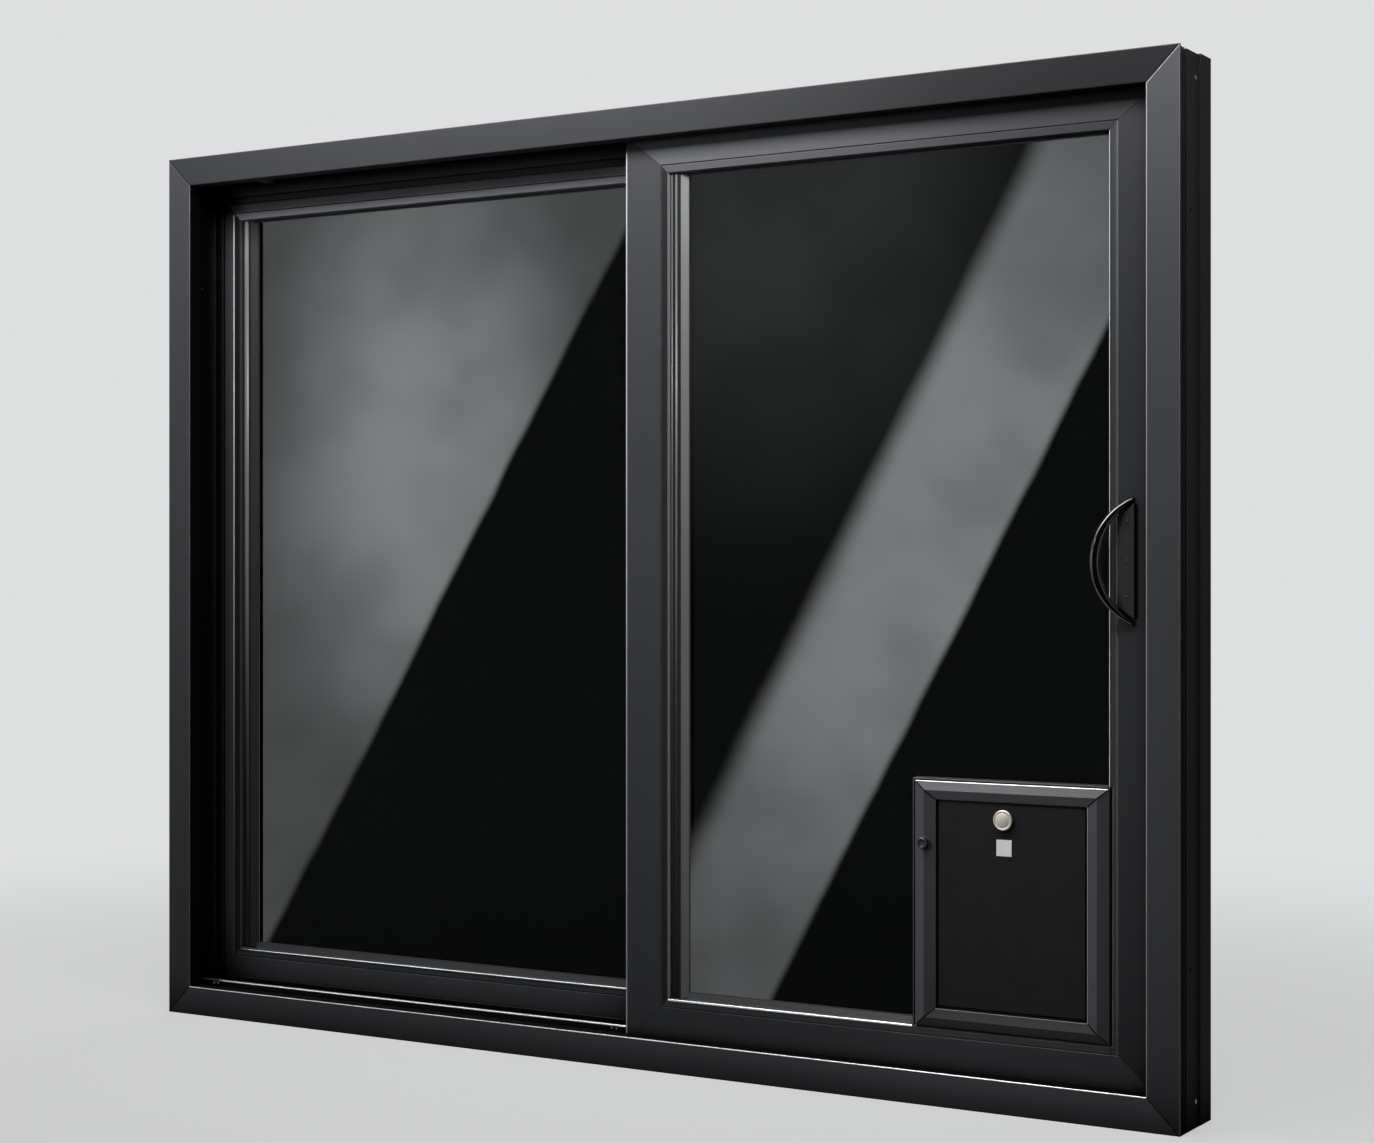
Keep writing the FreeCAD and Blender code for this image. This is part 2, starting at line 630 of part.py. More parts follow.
def sliding_spacer(bead_rect):
    """Spacer that follows the glass round the pet door's corner."""
    start = SLIDER_FRONT + GLASS_FRONT + PANE_THICKNESS
    end = SLIDER_FRONT + GLASS_BACK - PANE_THICKNESS
    sheets = []
    for inset in (SPACER_INSET, SPACER_INSET + SPACER_WIDTH):
        x0, z0, x1, z1 = glass_rect(bead_rect, inset)
        sheet = block((x0, x1), (start, end), (z0, z1))
        edge = GLASS_CUT_CLEARANCE + inset
        notch = block(
            (TUNNEL_LEFT - edge, SLIDER_RIGHT), (start, end), (PANEL_BOTTOM, TUNNEL_TOP + edge))
        sheets.append(sheet.cut(notch))
    return sheets[0].cut(sheets[1])


# Handles

def make_handle():
    """Pull handle of the room side: a tapered plate and a bow that leans over the glass."""
    face = SLIDER_FRONT
    right = SLIDER_RIGHT - HANDLE_PLATE_RIGHT
    left = right - HANDLE_PLATE_WIDTH
    middle = HANDLE_CENTRE_HEIGHT
    outline = [
        (right, -HANDLE_PLATE_LENGTH / 2), (right, HANDLE_PLATE_LENGTH / 2),
        (left, HANDLE_PLATE_FLAT / 2), (left, -HANDLE_PLATE_FLAT / 2)]
    points = [
        Vector(along(x), depth(face - HANDLE_PLATE_THICKNESS), middle + z) for x, z in outline]
    plate = prism(points, Vector(0, HANDLE_PLATE_THICKNESS, 0))
    save("handle_plate", plate)
    save("handle_bow", handle_bow(right - BOW_FOOT_INSET, face).cut(plate))


def handle_bow(foot_x, foot_depth):
    """Crescent between two arcs, in a plane that leans from the door towards the glass."""
    foot = Vector(along(foot_x), depth(foot_depth), HANDLE_CENTRE_HEIGHT)
    reach = math.hypot(BOW_SIDE_REACH, BOW_FRONT_REACH)
    out = Vector(-BOW_SIDE_REACH / reach, -BOW_FRONT_REACH / reach, 0)
    across = out.cross(Vector(0, 0, 1))
    half = BOW_LENGTH / 2

    def at(distance, height):
        return foot + out * distance + Vector(0, 0, height) - across * (BOW_WIDTH / 2)

    inner = half - BOW_END_THICKNESS
    outer_arc = Part.Arc(at(0, -half), at(reach, 0), at(0, half)).toShape()
    inner_arc = Part.Arc(at(0, inner), at(reach - BOW_THICKNESS, 0), at(0, -inner)).toShape()
    top = Part.LineSegment(at(0, half), at(0, inner)).toShape()
    bottom = Part.LineSegment(at(0, -inner), at(0, -half)).toShape()
    sheet = Part.Face(Part.Wire([outer_arc, top, inner_arc, bottom]))
    bow = sheet.extrude(across * BOW_WIDTH)
    arcs = [edge for edge in bow.Edges if edge.Curve.TypeId == "Part::GeomCircle"]
    bow = bow.makeFillet(BOW_ROUNDING, arcs)
    sink = Part.makeBox(
        2 * BOW_LENGTH, 2 * BOW_LENGTH, 2 * BOW_LENGTH,
        Vector(foot.x - BOW_LENGTH, foot.y, foot.z - BOW_LENGTH))
    return bow.cut(sink)


def make_outside_pull():
    """Pull of the outdoor side: a base plate and a straight bar on two feet."""
    middle = SLIDER_RIGHT - STILE_WIDTH + OUTER_PULL_WIDTH / 2
    x_range = (middle - OUTER_PULL_WIDTH / 2, middle + OUTER_PULL_WIDTH / 2)
    low = HANDLE_CENTRE_HEIGHT - OUTER_PULL_LENGTH / 2
    high = low + OUTER_PULL_LENGTH
    rear = SLIDER_REAR
    body = block(x_range, (rear, rear + OUTER_PULL_PROJECTION), (low, high))
    edges = [
        edge for edge in body.Edges
        if abs(edge.CenterOfMass.y - depth(rear + OUTER_PULL_PROJECTION)) < SAME
        and abs(edge.Vertexes[0].Z - edge.Vertexes[-1].Z) < SAME]
    body = body.makeFillet(OUTER_PULL_CORNER, edges)
    gap = block(
        x_range, (rear + OUTER_PULL_BASE, rear + OUTER_PULL_PROJECTION - OUTER_PULL_BAR),
        (low + OUTER_PULL_FOOT, high - OUTER_PULL_FOOT))
    save("outside_pull", body.cut(gap))


# Pet door

def make_pet_base():
    """Moulding that goes through the glass: a rimmed flange and a tunnel."""
    flange = block((PET_X0, PET_X1), (FLANGE_DEPTH, SLIDER_FRONT + GLASS_FRONT), (PET_Z0, PET_Z1))
    rim = block((PET_X0, PET_X1), (FLANGE_DEPTH - PET_RIM_HEIGHT, FLANGE_DEPTH), (PET_Z0, PET_Z1))
    rim = rim.cut(block(
        (PET_X0 + PET_RIM_WIDTH, PET_X1 - PET_RIM_WIDTH),
        (FLANGE_DEPTH - PET_RIM_HEIGHT, FLANGE_DEPTH),
        (PET_Z0 + PET_RIM_WIDTH, PET_Z1 - PET_RIM_WIDTH)))
    tunnel = block(
        (TUNNEL_LEFT, SLIDER_RIGHT - STILE_WIDTH),
        (SLIDER_FRONT + GLASS_FRONT, SLIDER_FRONT + GLASS_BACK),
        (PANEL_BOTTOM + BOTTOM_RAIL, TUNNEL_TOP))
    x0, z0, x1, z1 = PET_PASSAGE
    passage = block((x0, x1), (SLIDER_FRONT, SLIDER_REAR), (z0, z1))
    save("pet_base_frame", flange.fuse([rim, tunnel]).cut(passage).removeSplitter())


def make_pet_outside_frame():
    """Flat ring of the outdoor side, flush with the panel's rear."""
    x0, z0, x1, z1 = PET_PASSAGE
    d_range = (SLIDER_FRONT + GLASS_BACK, SLIDER_REAR)
    ring = block(
        (x0 - OUTSIDE_FRAME_MARGIN, SLIDER_RIGHT - STILE_WIDTH - BEAD_WIDTH), d_range,
        (PANEL_BOTTOM + BOTTOM_RAIL + BOTTOM_SIGHT, z1 + OUTSIDE_FRAME_MARGIN))
    save("pet_outside_frame", ring.cut(block((x0, x1), d_range, (z0, z1))))


def pet_member_outline(width):
    """Section of a room-side member: two slopes that meet at a crease in the middle."""
    back = FLANGE_DEPTH
    return [
        (0.0, back), (0.0, back - PET_MEMBER_EDGE), (width / 2, back - PET_MEMBER_CREASE),
        (width, back - PET_MEMBER_EDGE), (width, back)]


def pin_centre(d):
    """Point on the lock pin's axis at a depth."""
    x = PET_RECT[0] + PET_SIDE_MEMBER / 2
    height = PET_WINDOW[3] - PIN_FROM_TOP
    return Vector(along(x), depth(d), height)


def make_pet_members():
    """Four mitred members, the left one with the lock pin's boss and hole."""
    crease = FLANGE_DEPTH - PET_MEMBER_CREASE
    back_axis = Vector(0, 1, 0)
    for side in SIDES:
        outline = pet_member_outline(PET_MEMBERS[side])
        shape = mitred_bar(outline, side, PET_RECT, PET_MEMBERS)
        if side == "left":
            top = crease - PIN_BOSS_RISE
            boss = Part.makeCylinder(
                PIN_BOSS_RADIUS, FLANGE_DEPTH - top, pin_centre(top), back_axis)
            hole = Part.makeCylinder(
                PIN_STEM_RADIUS + PIN_HOLE_CLEARANCE, FLANGE_DEPTH - top, pin_centre(top),
                back_axis)
            shape = shape.fuse(boss).cut(hole)
        save(f"pet_frame_{side}", shape)


def make_lock_pin():
    """Sprung pin with a round knob, in the left member."""
    seat = FLANGE_DEPTH - PET_MEMBER_CREASE - PIN_BOSS_RISE - PIN_HOLE_CLEARANCE
    start = pin_centre(seat - PIN_KNOB_LENGTH)
    knob = Part.makeCylinder(PIN_KNOB_RADIUS, PIN_KNOB_LENGTH, start, Vector(0, 1, 0))
    rims = [edge for edge in knob.Edges if abs(edge.CenterOfMass.y - start.y) < SAME]
    knob = knob.makeFillet(PIN_KNOB_ROUNDING, rims)
    stem = Part.makeCylinder(
        PIN_STEM_RADIUS, PIN_STEM_LENGTH, pin_centre(seat), Vector(0, 1, 0))
    save("cover_lock_pin", knob.fuse(stem).removeSplitter())


def make_flap():
    """Flap across the tunnel."""
    x0, z0, x1, z1 = PET_PASSAGE
    start = SLIDER_FRONT + FLAP_FRONT
    save("pet_flap", block((x0, x1), (start, start + FLAP_THICKNESS), (z0, z1)))


def make_cover():
    """Cover that closes the pet door, with its pull knob and a blank square plate."""
    x0, z0, x1, z1 = PET_WINDOW
    face = FLANGE_DEPTH - COVER_THICKNESS
    sheet = block(
        (x0 + COVER_GAP, x1 - COVER_GAP), (face, FLANGE_DEPTH), (z0 + COVER_GAP, z1 - COVER_GAP))
    rims = [edge for edge in sheet.Edges if abs(edge.CenterOfMass.y - depth(face)) < SAME]
    save("pet_cover", sheet.makeChamfer(COVER_EDGE_CHAMFER, rims))
    x = (x0 + x1) / 2 + COVER_KNOB_OFFSET
    height = z1 - COVER_KNOB_FROM_TOP
    save("cover_knob", cover_knob(Vector(along(x), depth(face), height)))
    half = BADGE_SIZE / 2
    low = height - BADGE_BELOW_KNOB
    save("cover_blank_plate", block(
        (x - half, x + half), (face - BADGE_THICKNESS, face), (low - half, low + half)))


def cover_knob(base):
    """Low round knob: a short neck and a flat head with a rounded rim and a slight dome."""
    neck = COVER_KNOB_NECK_LENGTH
    tip = neck + COVER_KNOB_HEAD
    rim = tip - COVER_KNOB_DOME
    radius = COVER_KNOB_RADIUS
    curve = COVER_KNOB_ROUNDING
    flat = radius - curve
    turn = curve * math.sqrt(0.5)

    def at(r, y):
        return base + Vector(r, -y, 0)

    outline = [at(0, 0), at(COVER_KNOB_NECK, 0), at(COVER_KNOB_NECK, neck), at(radius, neck),
               at(radius, rim - curve)]
    edges = [
        Part.LineSegment(start, end).toShape() for start, end in zip(outline, outline[1:])]
    middle = at(flat + turn, rim - curve + turn)
    edges.append(Part.Arc(outline[-1], middle, at(flat, rim)).toShape())
    sag = COVER_KNOB_DOME
    sphere = (flat ** 2 + sag ** 2) / (2 * sag)
    half_rise = math.sqrt(sphere ** 2 - (flat / 2) ** 2) - (sphere - sag)
    edges.append(Part.Arc(at(flat, rim), at(flat / 2, rim + half_rise), at(0, tip)).toShape())
    edges.append(Part.LineSegment(at(0, tip), at(0, 0)).toShape())
    return Part.Face(Part.Wire(edges)).revolve(base, Vector(0, 1, 0), 360)


make_frame()
make_keeper()
make_stops()
make_track()
make_bumper()
make_fixed_panel()
make_interlocks()
make_sliding_panel()
make_handle()
make_outside_pull()
make_pet_base()
make_pet_outside_frame()
make_pet_members()
make_lock_pin()
make_flap()
make_cover()
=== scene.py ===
import logging
import math
from collections.abc import Callable, Sequence
from dataclasses import dataclass
from enum import Enum

import bmesh
import bpy
from mathutils import Matrix, Vector


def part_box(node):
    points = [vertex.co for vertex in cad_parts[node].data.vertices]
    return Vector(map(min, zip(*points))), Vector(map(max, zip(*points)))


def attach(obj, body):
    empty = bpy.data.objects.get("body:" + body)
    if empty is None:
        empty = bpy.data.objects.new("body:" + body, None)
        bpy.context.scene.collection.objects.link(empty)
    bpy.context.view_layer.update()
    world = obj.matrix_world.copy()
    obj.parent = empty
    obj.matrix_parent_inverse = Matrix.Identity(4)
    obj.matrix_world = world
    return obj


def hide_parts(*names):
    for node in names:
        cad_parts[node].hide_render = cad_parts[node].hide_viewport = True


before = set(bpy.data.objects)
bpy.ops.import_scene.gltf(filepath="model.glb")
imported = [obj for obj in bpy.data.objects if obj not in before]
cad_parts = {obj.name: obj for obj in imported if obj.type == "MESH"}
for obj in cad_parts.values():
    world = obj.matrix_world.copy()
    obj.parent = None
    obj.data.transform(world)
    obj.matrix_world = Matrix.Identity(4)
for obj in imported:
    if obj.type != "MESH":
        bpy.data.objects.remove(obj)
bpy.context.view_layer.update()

# Looks of a glass sliding patio door with a pet door, in metres.
# X runs across the door, +Y from the room to outdoors, +Z up, with the room on the -Y side.

MM = 0.001
LOG = logging.getLogger("patio_door")
TOWARDS_ROOM = Vector((0, -1, 0))
TOWARDS_OUTDOORS = Vector((0, 1, 0))
UP = Vector((0, 0, 1))
# How far a painted line of light or a dark joint stands out from the face that it lies on
LINE_RISE = 0.12 * MM

Colour = tuple[float, float, float, float]
Flat = tuple[float, float]
Socket = bpy.types.NodeSocket


def srgb(red: int, green: int, blue: int) -> Colour:
    """Linear colour of a display colour.

    Args:
        red: Display value from 0 to 255.
        green: Display value from 0 to 255.
        blue: Display value from 0 to 255.

    Returns:
        The linear colour, with an alpha of 1.
    """
    shares = [value / 255 for value in (red, green, blue)]
    linear = [s / 12.92 if s <= 0.04045 else ((s + 0.055) / 1.055) ** 2.4 for s in shares]
    return (*linear, 1.0)


def toned(colour: Colour, share: float) -> Colour:
    """Colour with its light scaled by a share."""
    return (*(min(1.0, value * share) for value in colour[:3]), 1.0)


DUST_COLOUR = srgb(150, 147, 140)


# Node trees

class Tree:
    """Short calls that build a shader node tree."""

    def __init__(self, tree: bpy.types.NodeTree) -> None:
        """Keeps the tree to build in."""
        self.tree = tree

    def put(self, target: Socket, value: object) -> None:
        """Sets a socket to a constant, or links another socket to it.

        Args:
            target: The socket to set.
            value: A constant or a socket.
        """
        if isinstance(value, bpy.types.NodeSocket):
            self.tree.links.new(value, target)
        else:
            target.default_value = value

    def add(self, kind: str, inputs: dict | None = None, **settings: object) -> bpy.types.Node:
        """Adds a node.

        Args:
            kind: The node's type, without its ShaderNode prefix.
            inputs: Constants or sockets for its inputs, by name or number.
            settings: Attributes of the node.

        Returns:
            The new node.
        """
        node = self.tree.nodes.new("ShaderNode" + kind)
        for name, value in settings.items():
            setattr(node, name, value)
        for key, value in (inputs or {}).items():
            self.put(node.inputs[key], value)
        return node

    def maths(self, operation: str, first: object, second: object = 0.0,
              clamp: bool = False) -> Socket:
        """Result of a sum on two values.

        Args:
            operation: Name of the operation, such as MULTIPLY.
            first: A socket or a number.
            second: A socket or a number.
            clamp: Whether the result is kept from 0 to 1.

        Returns:
            The socket with the result.
        """
        node = self.add("Math", {0: first, 1: second}, operation=operation, use_clamp=clamp)
        return node.outputs[0]

    def ramp(self, value: object, start: object, end: object, low: float = 0.0,
             high: float = 1.0) -> Socket:
        """Value carried smoothly from one range to another.

        Args:
            value: A socket or a number.
            start: Where the range begins.
            end: Where the range ends.
            low: Result at the start.
            high: Result at the end.

        Returns:
            The socket with the result.
        """
        node = self.add("MapRange", {
            "Value": value, "From Min": start, "From Max": end, "To Min": low, "To Max": high,
        }, interpolation_type="SMOOTHSTEP")
        return node.outputs["Result"]

    def blend(self, share: object, first: object, second: object) -> Socket:
        """Colour between two colours.

        Args:
            share: How much of the second colour, from 0 to 1.
            first: A socket or a colour.
            second: A socket or a colour.

        Returns:
            The socket with the colour.
        """
        node = self.add("Mix", {0: share, 6: first, 7: second}, data_type="RGBA")
        return node.outputs[2]

    def noise(self, vector: Socket, scale: object, detail: float = 2.0) -> Socket:
        """Cloudy value from 0 to 1.

        Args:
            vector: Place on the surface.
            scale: Clouds in each metre.
            detail: How many finer layers there are.

        Returns:
            The socket with the value.
        """
        node = self.add("TexNoise", {"Vector": vector, "Scale": scale, "Detail": detail})
        return node.outputs["Fac"]

    def place(self) -> Socket:
        """Place on the surface in the piece's own frame."""
        return self.add("TexCoord").outputs["Object"]

    def bump(self, height: Socket, strength: object, distance: float) -> Socket:
        """Normal that a small height gives.

        Args:
            height: The height's socket.
            strength: How strong the relief is, from 0 to 1.
            distance: Real height in metres.

        Returns:
            The socket with the normal.
        """
        node = self.add("Bump", {
            "Height": height, "Strength": strength, "Distance": distance})
        return node.outputs["Normal"]


def empty_tree(owner: bpy.types.Material | bpy.types.World) -> Tree:
    """Clears the node tree of a material or of the world.

    Args:
        owner: The material or the world.

    Returns:
        Its empty tree.
    """
    owner.use_nodes = True
    owner.node_tree.nodes.clear()
    return Tree(owner.node_tree)


class Effect(Enum):
    """Surface effects that several finishes share, each a node group."""

    PAINTED_EDGE_HIGHLIGHT = "painted edge highlight"
    RECESS = "recess shade"
    FINE_GRAIN = "fine grain"
    SETTLED_DUST = "settled dust"
    HANDLING = "handling marks"
    DRAWN_LINES = "drawn lines"


class EffectShop:
    """Builds each shared effect once and places it in materials."""

    GRAIN_HEIGHT = 0.15 * MM
    LINE_HEIGHT = 0.06 * MM
    # Where a mask starts and is full, as a share of the normal or of the open sky
    TURN = (0.12, 0.5)
    MITRE_TURN = (0.15, 0.35)
    OPENNESS = (0.3, 0.88)
    DUST_TURN = (0.35, 1.0)

    @classmethod
    def place(cls, tree: Tree, effect: Effect, **values: object) -> bpy.types.Node:
        """Places an effect in a material.

        Args:
            tree: The material's tree.
            effect: Which effect.
            values: Values for its inputs, with underscores for the spaces in their names.

        Returns:
            The group node, with the effect's outputs.
        """
        group = bpy.data.node_groups.get(effect.value) or cls.build(effect)
        node = tree.add("Group", node_tree=group)
        for name, value in values.items():
            tree.put(node.inputs[name.replace("_", " ")], value)
        return node

    @classmethod
    def build(cls, effect: Effect) -> bpy.types.NodeTree:
        """Makes the node group of one effect.

        Args:
            effect: Which effect.

        Returns:
            The node group.
        """
        makers: dict[Effect, Callable[[], bpy.types.NodeTree]] = {
            Effect.PAINTED_EDGE_HIGHLIGHT: cls.painted_edge_highlight,
            Effect.RECESS: cls.recess,
            Effect.FINE_GRAIN: cls.fine_grain,
            Effect.SETTLED_DUST: cls.settled_dust,
            Effect.HANDLING: cls.handling,
            Effect.DRAWN_LINES: cls.drawn_lines,
        }
        return makers[effect]()

    @staticmethod
    def start(effect: Effect, inputs: dict[str, float],
              outputs: dict[str, str]) -> tuple[bpy.types.NodeTree, Tree, dict, dict]:
        """Makes an empty group with its sockets.

        Args:
            effect: The effect that it is for.
            inputs: Each input's name and default value.
            outputs: Each output's name and kind of socket.

        Returns:
            The group, its tree, its input sockets and its output sockets by name.
        """
        group = bpy.data.node_groups.new(effect.value, "ShaderNodeTree")
        for label, value in inputs.items():
            made = group.interface.new_socket(
                name=label, in_out="INPUT", socket_type="NodeSocketFloat")
            made.default_value = value
        for label, kind in outputs.items():
            group.interface.new_socket(name=label, in_out="OUTPUT", socket_type=kind)
        given = group.nodes.new("NodeGroupInput")
        wanted = group.nodes.new("NodeGroupOutput")
        return (group, Tree(group), {label: given.outputs[label] for label in inputs},
                {label: wanted.inputs[label] for label in outputs})

    @classmethod
    def painted_edge_highlight(cls) -> bpy.types.NodeTree:
        """Mask of slanting surfaces such as rounded edges, strongest where they face up or left,
        for a painted highlight.

        Returns:
            The node group.
        """
        group, tree, given, wanted = cls.start(
            Effect.PAINTED_EDGE_HIGHLIGHT, {"Start": 0.02, "End": 0.1, "Right": 0.4},
            {"Mask": "NodeSocketFloat"})
        normal = tree.add("NewGeometry").outputs["Normal"]
        parts = tree.add("SeparateXYZ", {0: normal}).outputs
        sizes = [tree.maths("ABSOLUTE", part) for part in parts]
        most = tree.maths("MAXIMUM", tree.maths("MAXIMUM", sizes[0], sizes[1]), sizes[2])
        slant = tree.ramp(tree.maths("SUBTRACT", 1.0, most), given["Start"], given["End"])
        little, much = cls.TURN
        up = tree.ramp(parts["Z"], little, much)
        left = tree.ramp(parts["X"], -little, -much)
        right = tree.maths("MULTIPLY", tree.ramp(parts["X"], little, much), given["Right"])
        facing_light = tree.maths("MAXIMUM", tree.maths("MAXIMUM", up, left), right)
        mitre = tree.ramp(
            tree.maths("MINIMUM", sizes[0], sizes[2]), *cls.MITRE_TURN, 1.0, 0.0)
        mask = tree.maths("MULTIPLY", tree.maths("MULTIPLY", slant, facing_light), mitre)
        tree.put(wanted["Mask"], mask)
        return group

    @classmethod
    def recess(cls) -> bpy.types.NodeTree:
        """Share of open sky above a surface, low inside channels and beside lips, for painted
        shade.

        Returns:
            The node group.
        """
        group, tree, given, wanted = cls.start(
            Effect.RECESS, {"Reach": 0.11}, {"Open": "NodeSocketFloat"})
        hollow = tree.add("AmbientOcclusion", {"Distance": given["Reach"]}, samples=8)
        tree.put(wanted["Open"], tree.ramp(hollow.outputs["AO"], *cls.OPENNESS))
        return group

    @classmethod
    def fine_grain(cls) -> bpy.types.NodeTree:
        """Grain of a sprayed or moulded surface, with a slow change of tone.

        Returns:
            The node group.
        """
        group, tree, given, wanted = cls.start(
            Effect.FINE_GRAIN, {"Scale": 900.0, "Strength": 0.3, "Cloud Scale": 2.2},
            {"Normal": "NodeSocketVector", "Tone": "NodeSocketFloat"})
        place = tree.place()
        grain = tree.noise(place, given["Scale"], 3.0)
        tree.put(wanted["Normal"], tree.bump(grain, given["Strength"], cls.GRAIN_HEIGHT))
        tree.put(wanted["Tone"], tree.noise(place, given["Cloud Scale"], 3.0))
        return group

    @classmethod
    def settled_dust(cls) -> bpy.types.NodeTree:
        """Mask of light dust on what faces up.

        Returns:
            The node group.
        """
        group, tree, given, wanted = cls.start(
            Effect.SETTLED_DUST, {"Amount": 0.3, "Scale": 60.0}, {"Mask": "NodeSocketFloat"})
        normal = tree.add("NewGeometry").outputs["Normal"]
        upward = tree.ramp(tree.add("SeparateXYZ", {0: normal}).outputs["Z"], *cls.DUST_TURN)
        patches = tree.ramp(tree.noise(tree.place(), given["Scale"], 5.0), 0.3, 0.75)
        mask = tree.maths("MULTIPLY", tree.maths("MULTIPLY", upward, patches), given["Amount"])
        tree.put(wanted["Mask"], mask)
        return group

    @classmethod
    def handling(cls) -> bpy.types.NodeTree:
        """Mask of the faint duller patches that hands and cleaning leave.

        Returns:
            The node group.
        """
        group, tree, given, wanted = cls.start(
            Effect.HANDLING, {"Scale": 14.0, "Amount": 1.0}, {"Mask": "NodeSocketFloat"})
        place = tree.place()
        wipes = tree.noise(place, given["Scale"], 6.0)
        patches = tree.ramp(wipes, 0.42, 0.68)
        tree.put(wanted["Mask"], tree.maths("MULTIPLY", patches, given["Amount"]))
        return group

    @classmethod
    def drawn_lines(cls) -> bpy.types.NodeTree:
        """Fine lines along one direction, as on drawn or brushed metal.

        Returns:
            The node group.
        """
        group, tree, given, wanted = cls.start(
            Effect.DRAWN_LINES,
            {"Scale X": 4.0, "Scale Y": 2500.0, "Scale Z": 2500.0, "Strength": 0.25},
            {"Normal": "NodeSocketVector", "Tone": "NodeSocketFloat"})
        scales = tree.add("CombineXYZ", {
            axis: given["Scale " + axis] for axis in ("X", "Y", "Z")}).outputs[0]
        place = tree.add("VectorMath", {0: tree.place(), 1: scales}, operation="MULTIPLY")
        lines = tree.noise(place.outputs[0], 1.0, 3.0)
        tree.put(wanted["Normal"], tree.bump(lines, given["Strength"], cls.LINE_HEIGHT))
        tree.put(wanted["Tone"], lines)
        return group


# Finishes

@dataclass(frozen=True)
class Finish:
    """A surface finish, and the name of the record's material slot for it."""

    name: str
    slot: str

    def material(self) -> bpy.types.Material:
        """The finish's material, made once.

        Returns:
            The material.
        """
        found = bpy.data.materials.get(self.name)
        if found:
            return found
        made = bpy.data.materials.new(self.name)
        tree = empty_tree(made)
        shader = tree.add("BsdfPrincipled", self.inputs(tree))
        tree.add("OutputMaterial", {"Surface": shader.outputs[0]})
        return made

    def inputs(self, tree: Tree) -> dict[str, object]:
        """Values and sockets for the Principled shader."""
        raise NotImplementedError


@dataclass(frozen=True)
class Coating(Finish):
    """Satin coating on aluminium, smoother along the rounded edges, with a painted highlight there.

    Shade, reach, up and side set painted shade: they darken recesses and the sides that face up
    or right. A fade is a painted falloff of light: where in x it starts and ends, and the share of
    light left there.
    """

    HIDDEN_GLOSS = 0.1
    MARK_DULLING = 0.05
    DUST_DULLING = 0.3

    colour: Colour
    painted_highlight_colour: Colour
    roughness: float = 0.4
    edge_roughness: float = 0.26
    highlight_metal: float = 0.8
    edge_start: float = 0.2
    edge_end: float = 0.27
    edge_right: float = 0.4
    grain: float = 0.2
    tone_change: float = 0.1
    dust: float = 0.05
    gloss: float = 0.44
    wet: bool = False
    shade: float = 0.12
    reach: float = 0.11
    fade: tuple[float, float, float] | None = None
    up: float = 1.0
    side: float = 1.0

    def inputs(self, tree: Tree) -> dict[str, object]:
        """Coat colour with slow tone changes, painted shade in recesses, painted highlights on the
        edges and a little dust.

        Args:
            tree: The material's tree.

        Returns:
            Values and sockets by the shader's input names.
        """
        # Mask of the rounded edges that face the light, where the painted highlight goes.
        edge = EffectShop.place(
            tree, Effect.PAINTED_EDGE_HIGHLIGHT, Start=self.edge_start, End=self.edge_end,
            Right=self.edge_right).outputs["Mask"]
        grain = EffectShop.place(tree, Effect.FINE_GRAIN, Strength=self.grain)
        dust = EffectShop.place(tree, Effect.SETTLED_DUST, Amount=self.dust).outputs["Mask"]
        marks = EffectShop.place(tree, Effect.HANDLING, Scale=7.0).outputs["Mask"]
        sky = self.open_sky(tree)
        body = tree.blend(grain.outputs["Tone"], toned(self.colour, 1.0 - self.tone_change),
                          toned(self.colour, 1.0 + self.tone_change))
        dusty, gloss = self.faded(tree, tree.blend(dust, body, DUST_COLOUR))
        # Painted shade: the colour falls to its shade share where the sky is low, and the coat's
        # gloss with it.
        shaded = tree.blend(sky, toned(self.colour, self.shade), dusty)
        shine = tree.maths("MULTIPLY", tree.ramp(sky, 0.0, 1.0, self.HIDDEN_GLOSS, 1.0), gloss)
        rough = tree.ramp(marks, 0.0, 1.0, self.roughness, self.roughness + self.MARK_DULLING)
        smooth = tree.maths("SUBTRACT", rough, tree.maths(
            "MULTIPLY", edge, self.roughness - self.edge_roughness))
        # The painted highlight colour replaces the coat along the masked edges.
        return {
            "Base Color": tree.blend(edge, shaded, self.painted_highlight_colour),
            "Metallic": tree.maths("MULTIPLY", edge, self.highlight_metal) if self.highlight_metal else 0.0,
            "Roughness": tree.maths(
                "ADD", smooth, tree.maths("MULTIPLY", dust, self.DUST_DULLING)),
            "Specular IOR Level": 0.5 if self.wet else 0.0,
            "Coat Weight": 1.0 if self.wet else shine,
            "Coat Roughness": 0.05 if self.wet else self.roughness,
            "Normal": grain.outputs["Normal"],
        }

    def open_sky(self, tree: Tree) -> Socket:
        """Share of painted light left on the surface, less in recesses and on the sides turned up
        or right, as painted shade.

        Args:
            tree: The material's tree.

        Returns:
            The socket with the share.
        """
        sky = EffectShop.place(tree, Effect.RECESS, Reach=self.reach).outputs["Open"]
        for part, share in ((0, self.side), (2, self.up)):
            if share < 1.0:
                normal = tree.add("NewGeometry").outputs["Normal"]
                turn = tree.add("SeparateXYZ", {0: normal}).outputs[part]
                sky = tree.maths("MULTIPLY", sky, tree.ramp(turn, 0.2, 0.6, 1.0, share))
        return sky

    def faded(self, tree: Tree, colour: Socket) -> tuple[Socket, object]:
        """Colour and gloss that fall off across the door as a painted falloff of light, where the
        finish has a fade.

        Args:
            tree: The material's tree.
            colour: The colour before the fade.

        Returns:
            The colour and the gloss, as sockets or a plain gloss.
        """
        if not self.fade:
            return colour, self.gloss
        start, end, low = self.fade
        across = tree.add("SeparateXYZ", {0: tree.place()}).outputs[0]
        share = tree.ramp(across, start, end)
        return (tree.blend(share, colour, toned(self.colour, low)),
                tree.ramp(share, 0.0, 1.0, self.gloss, self.gloss * low))


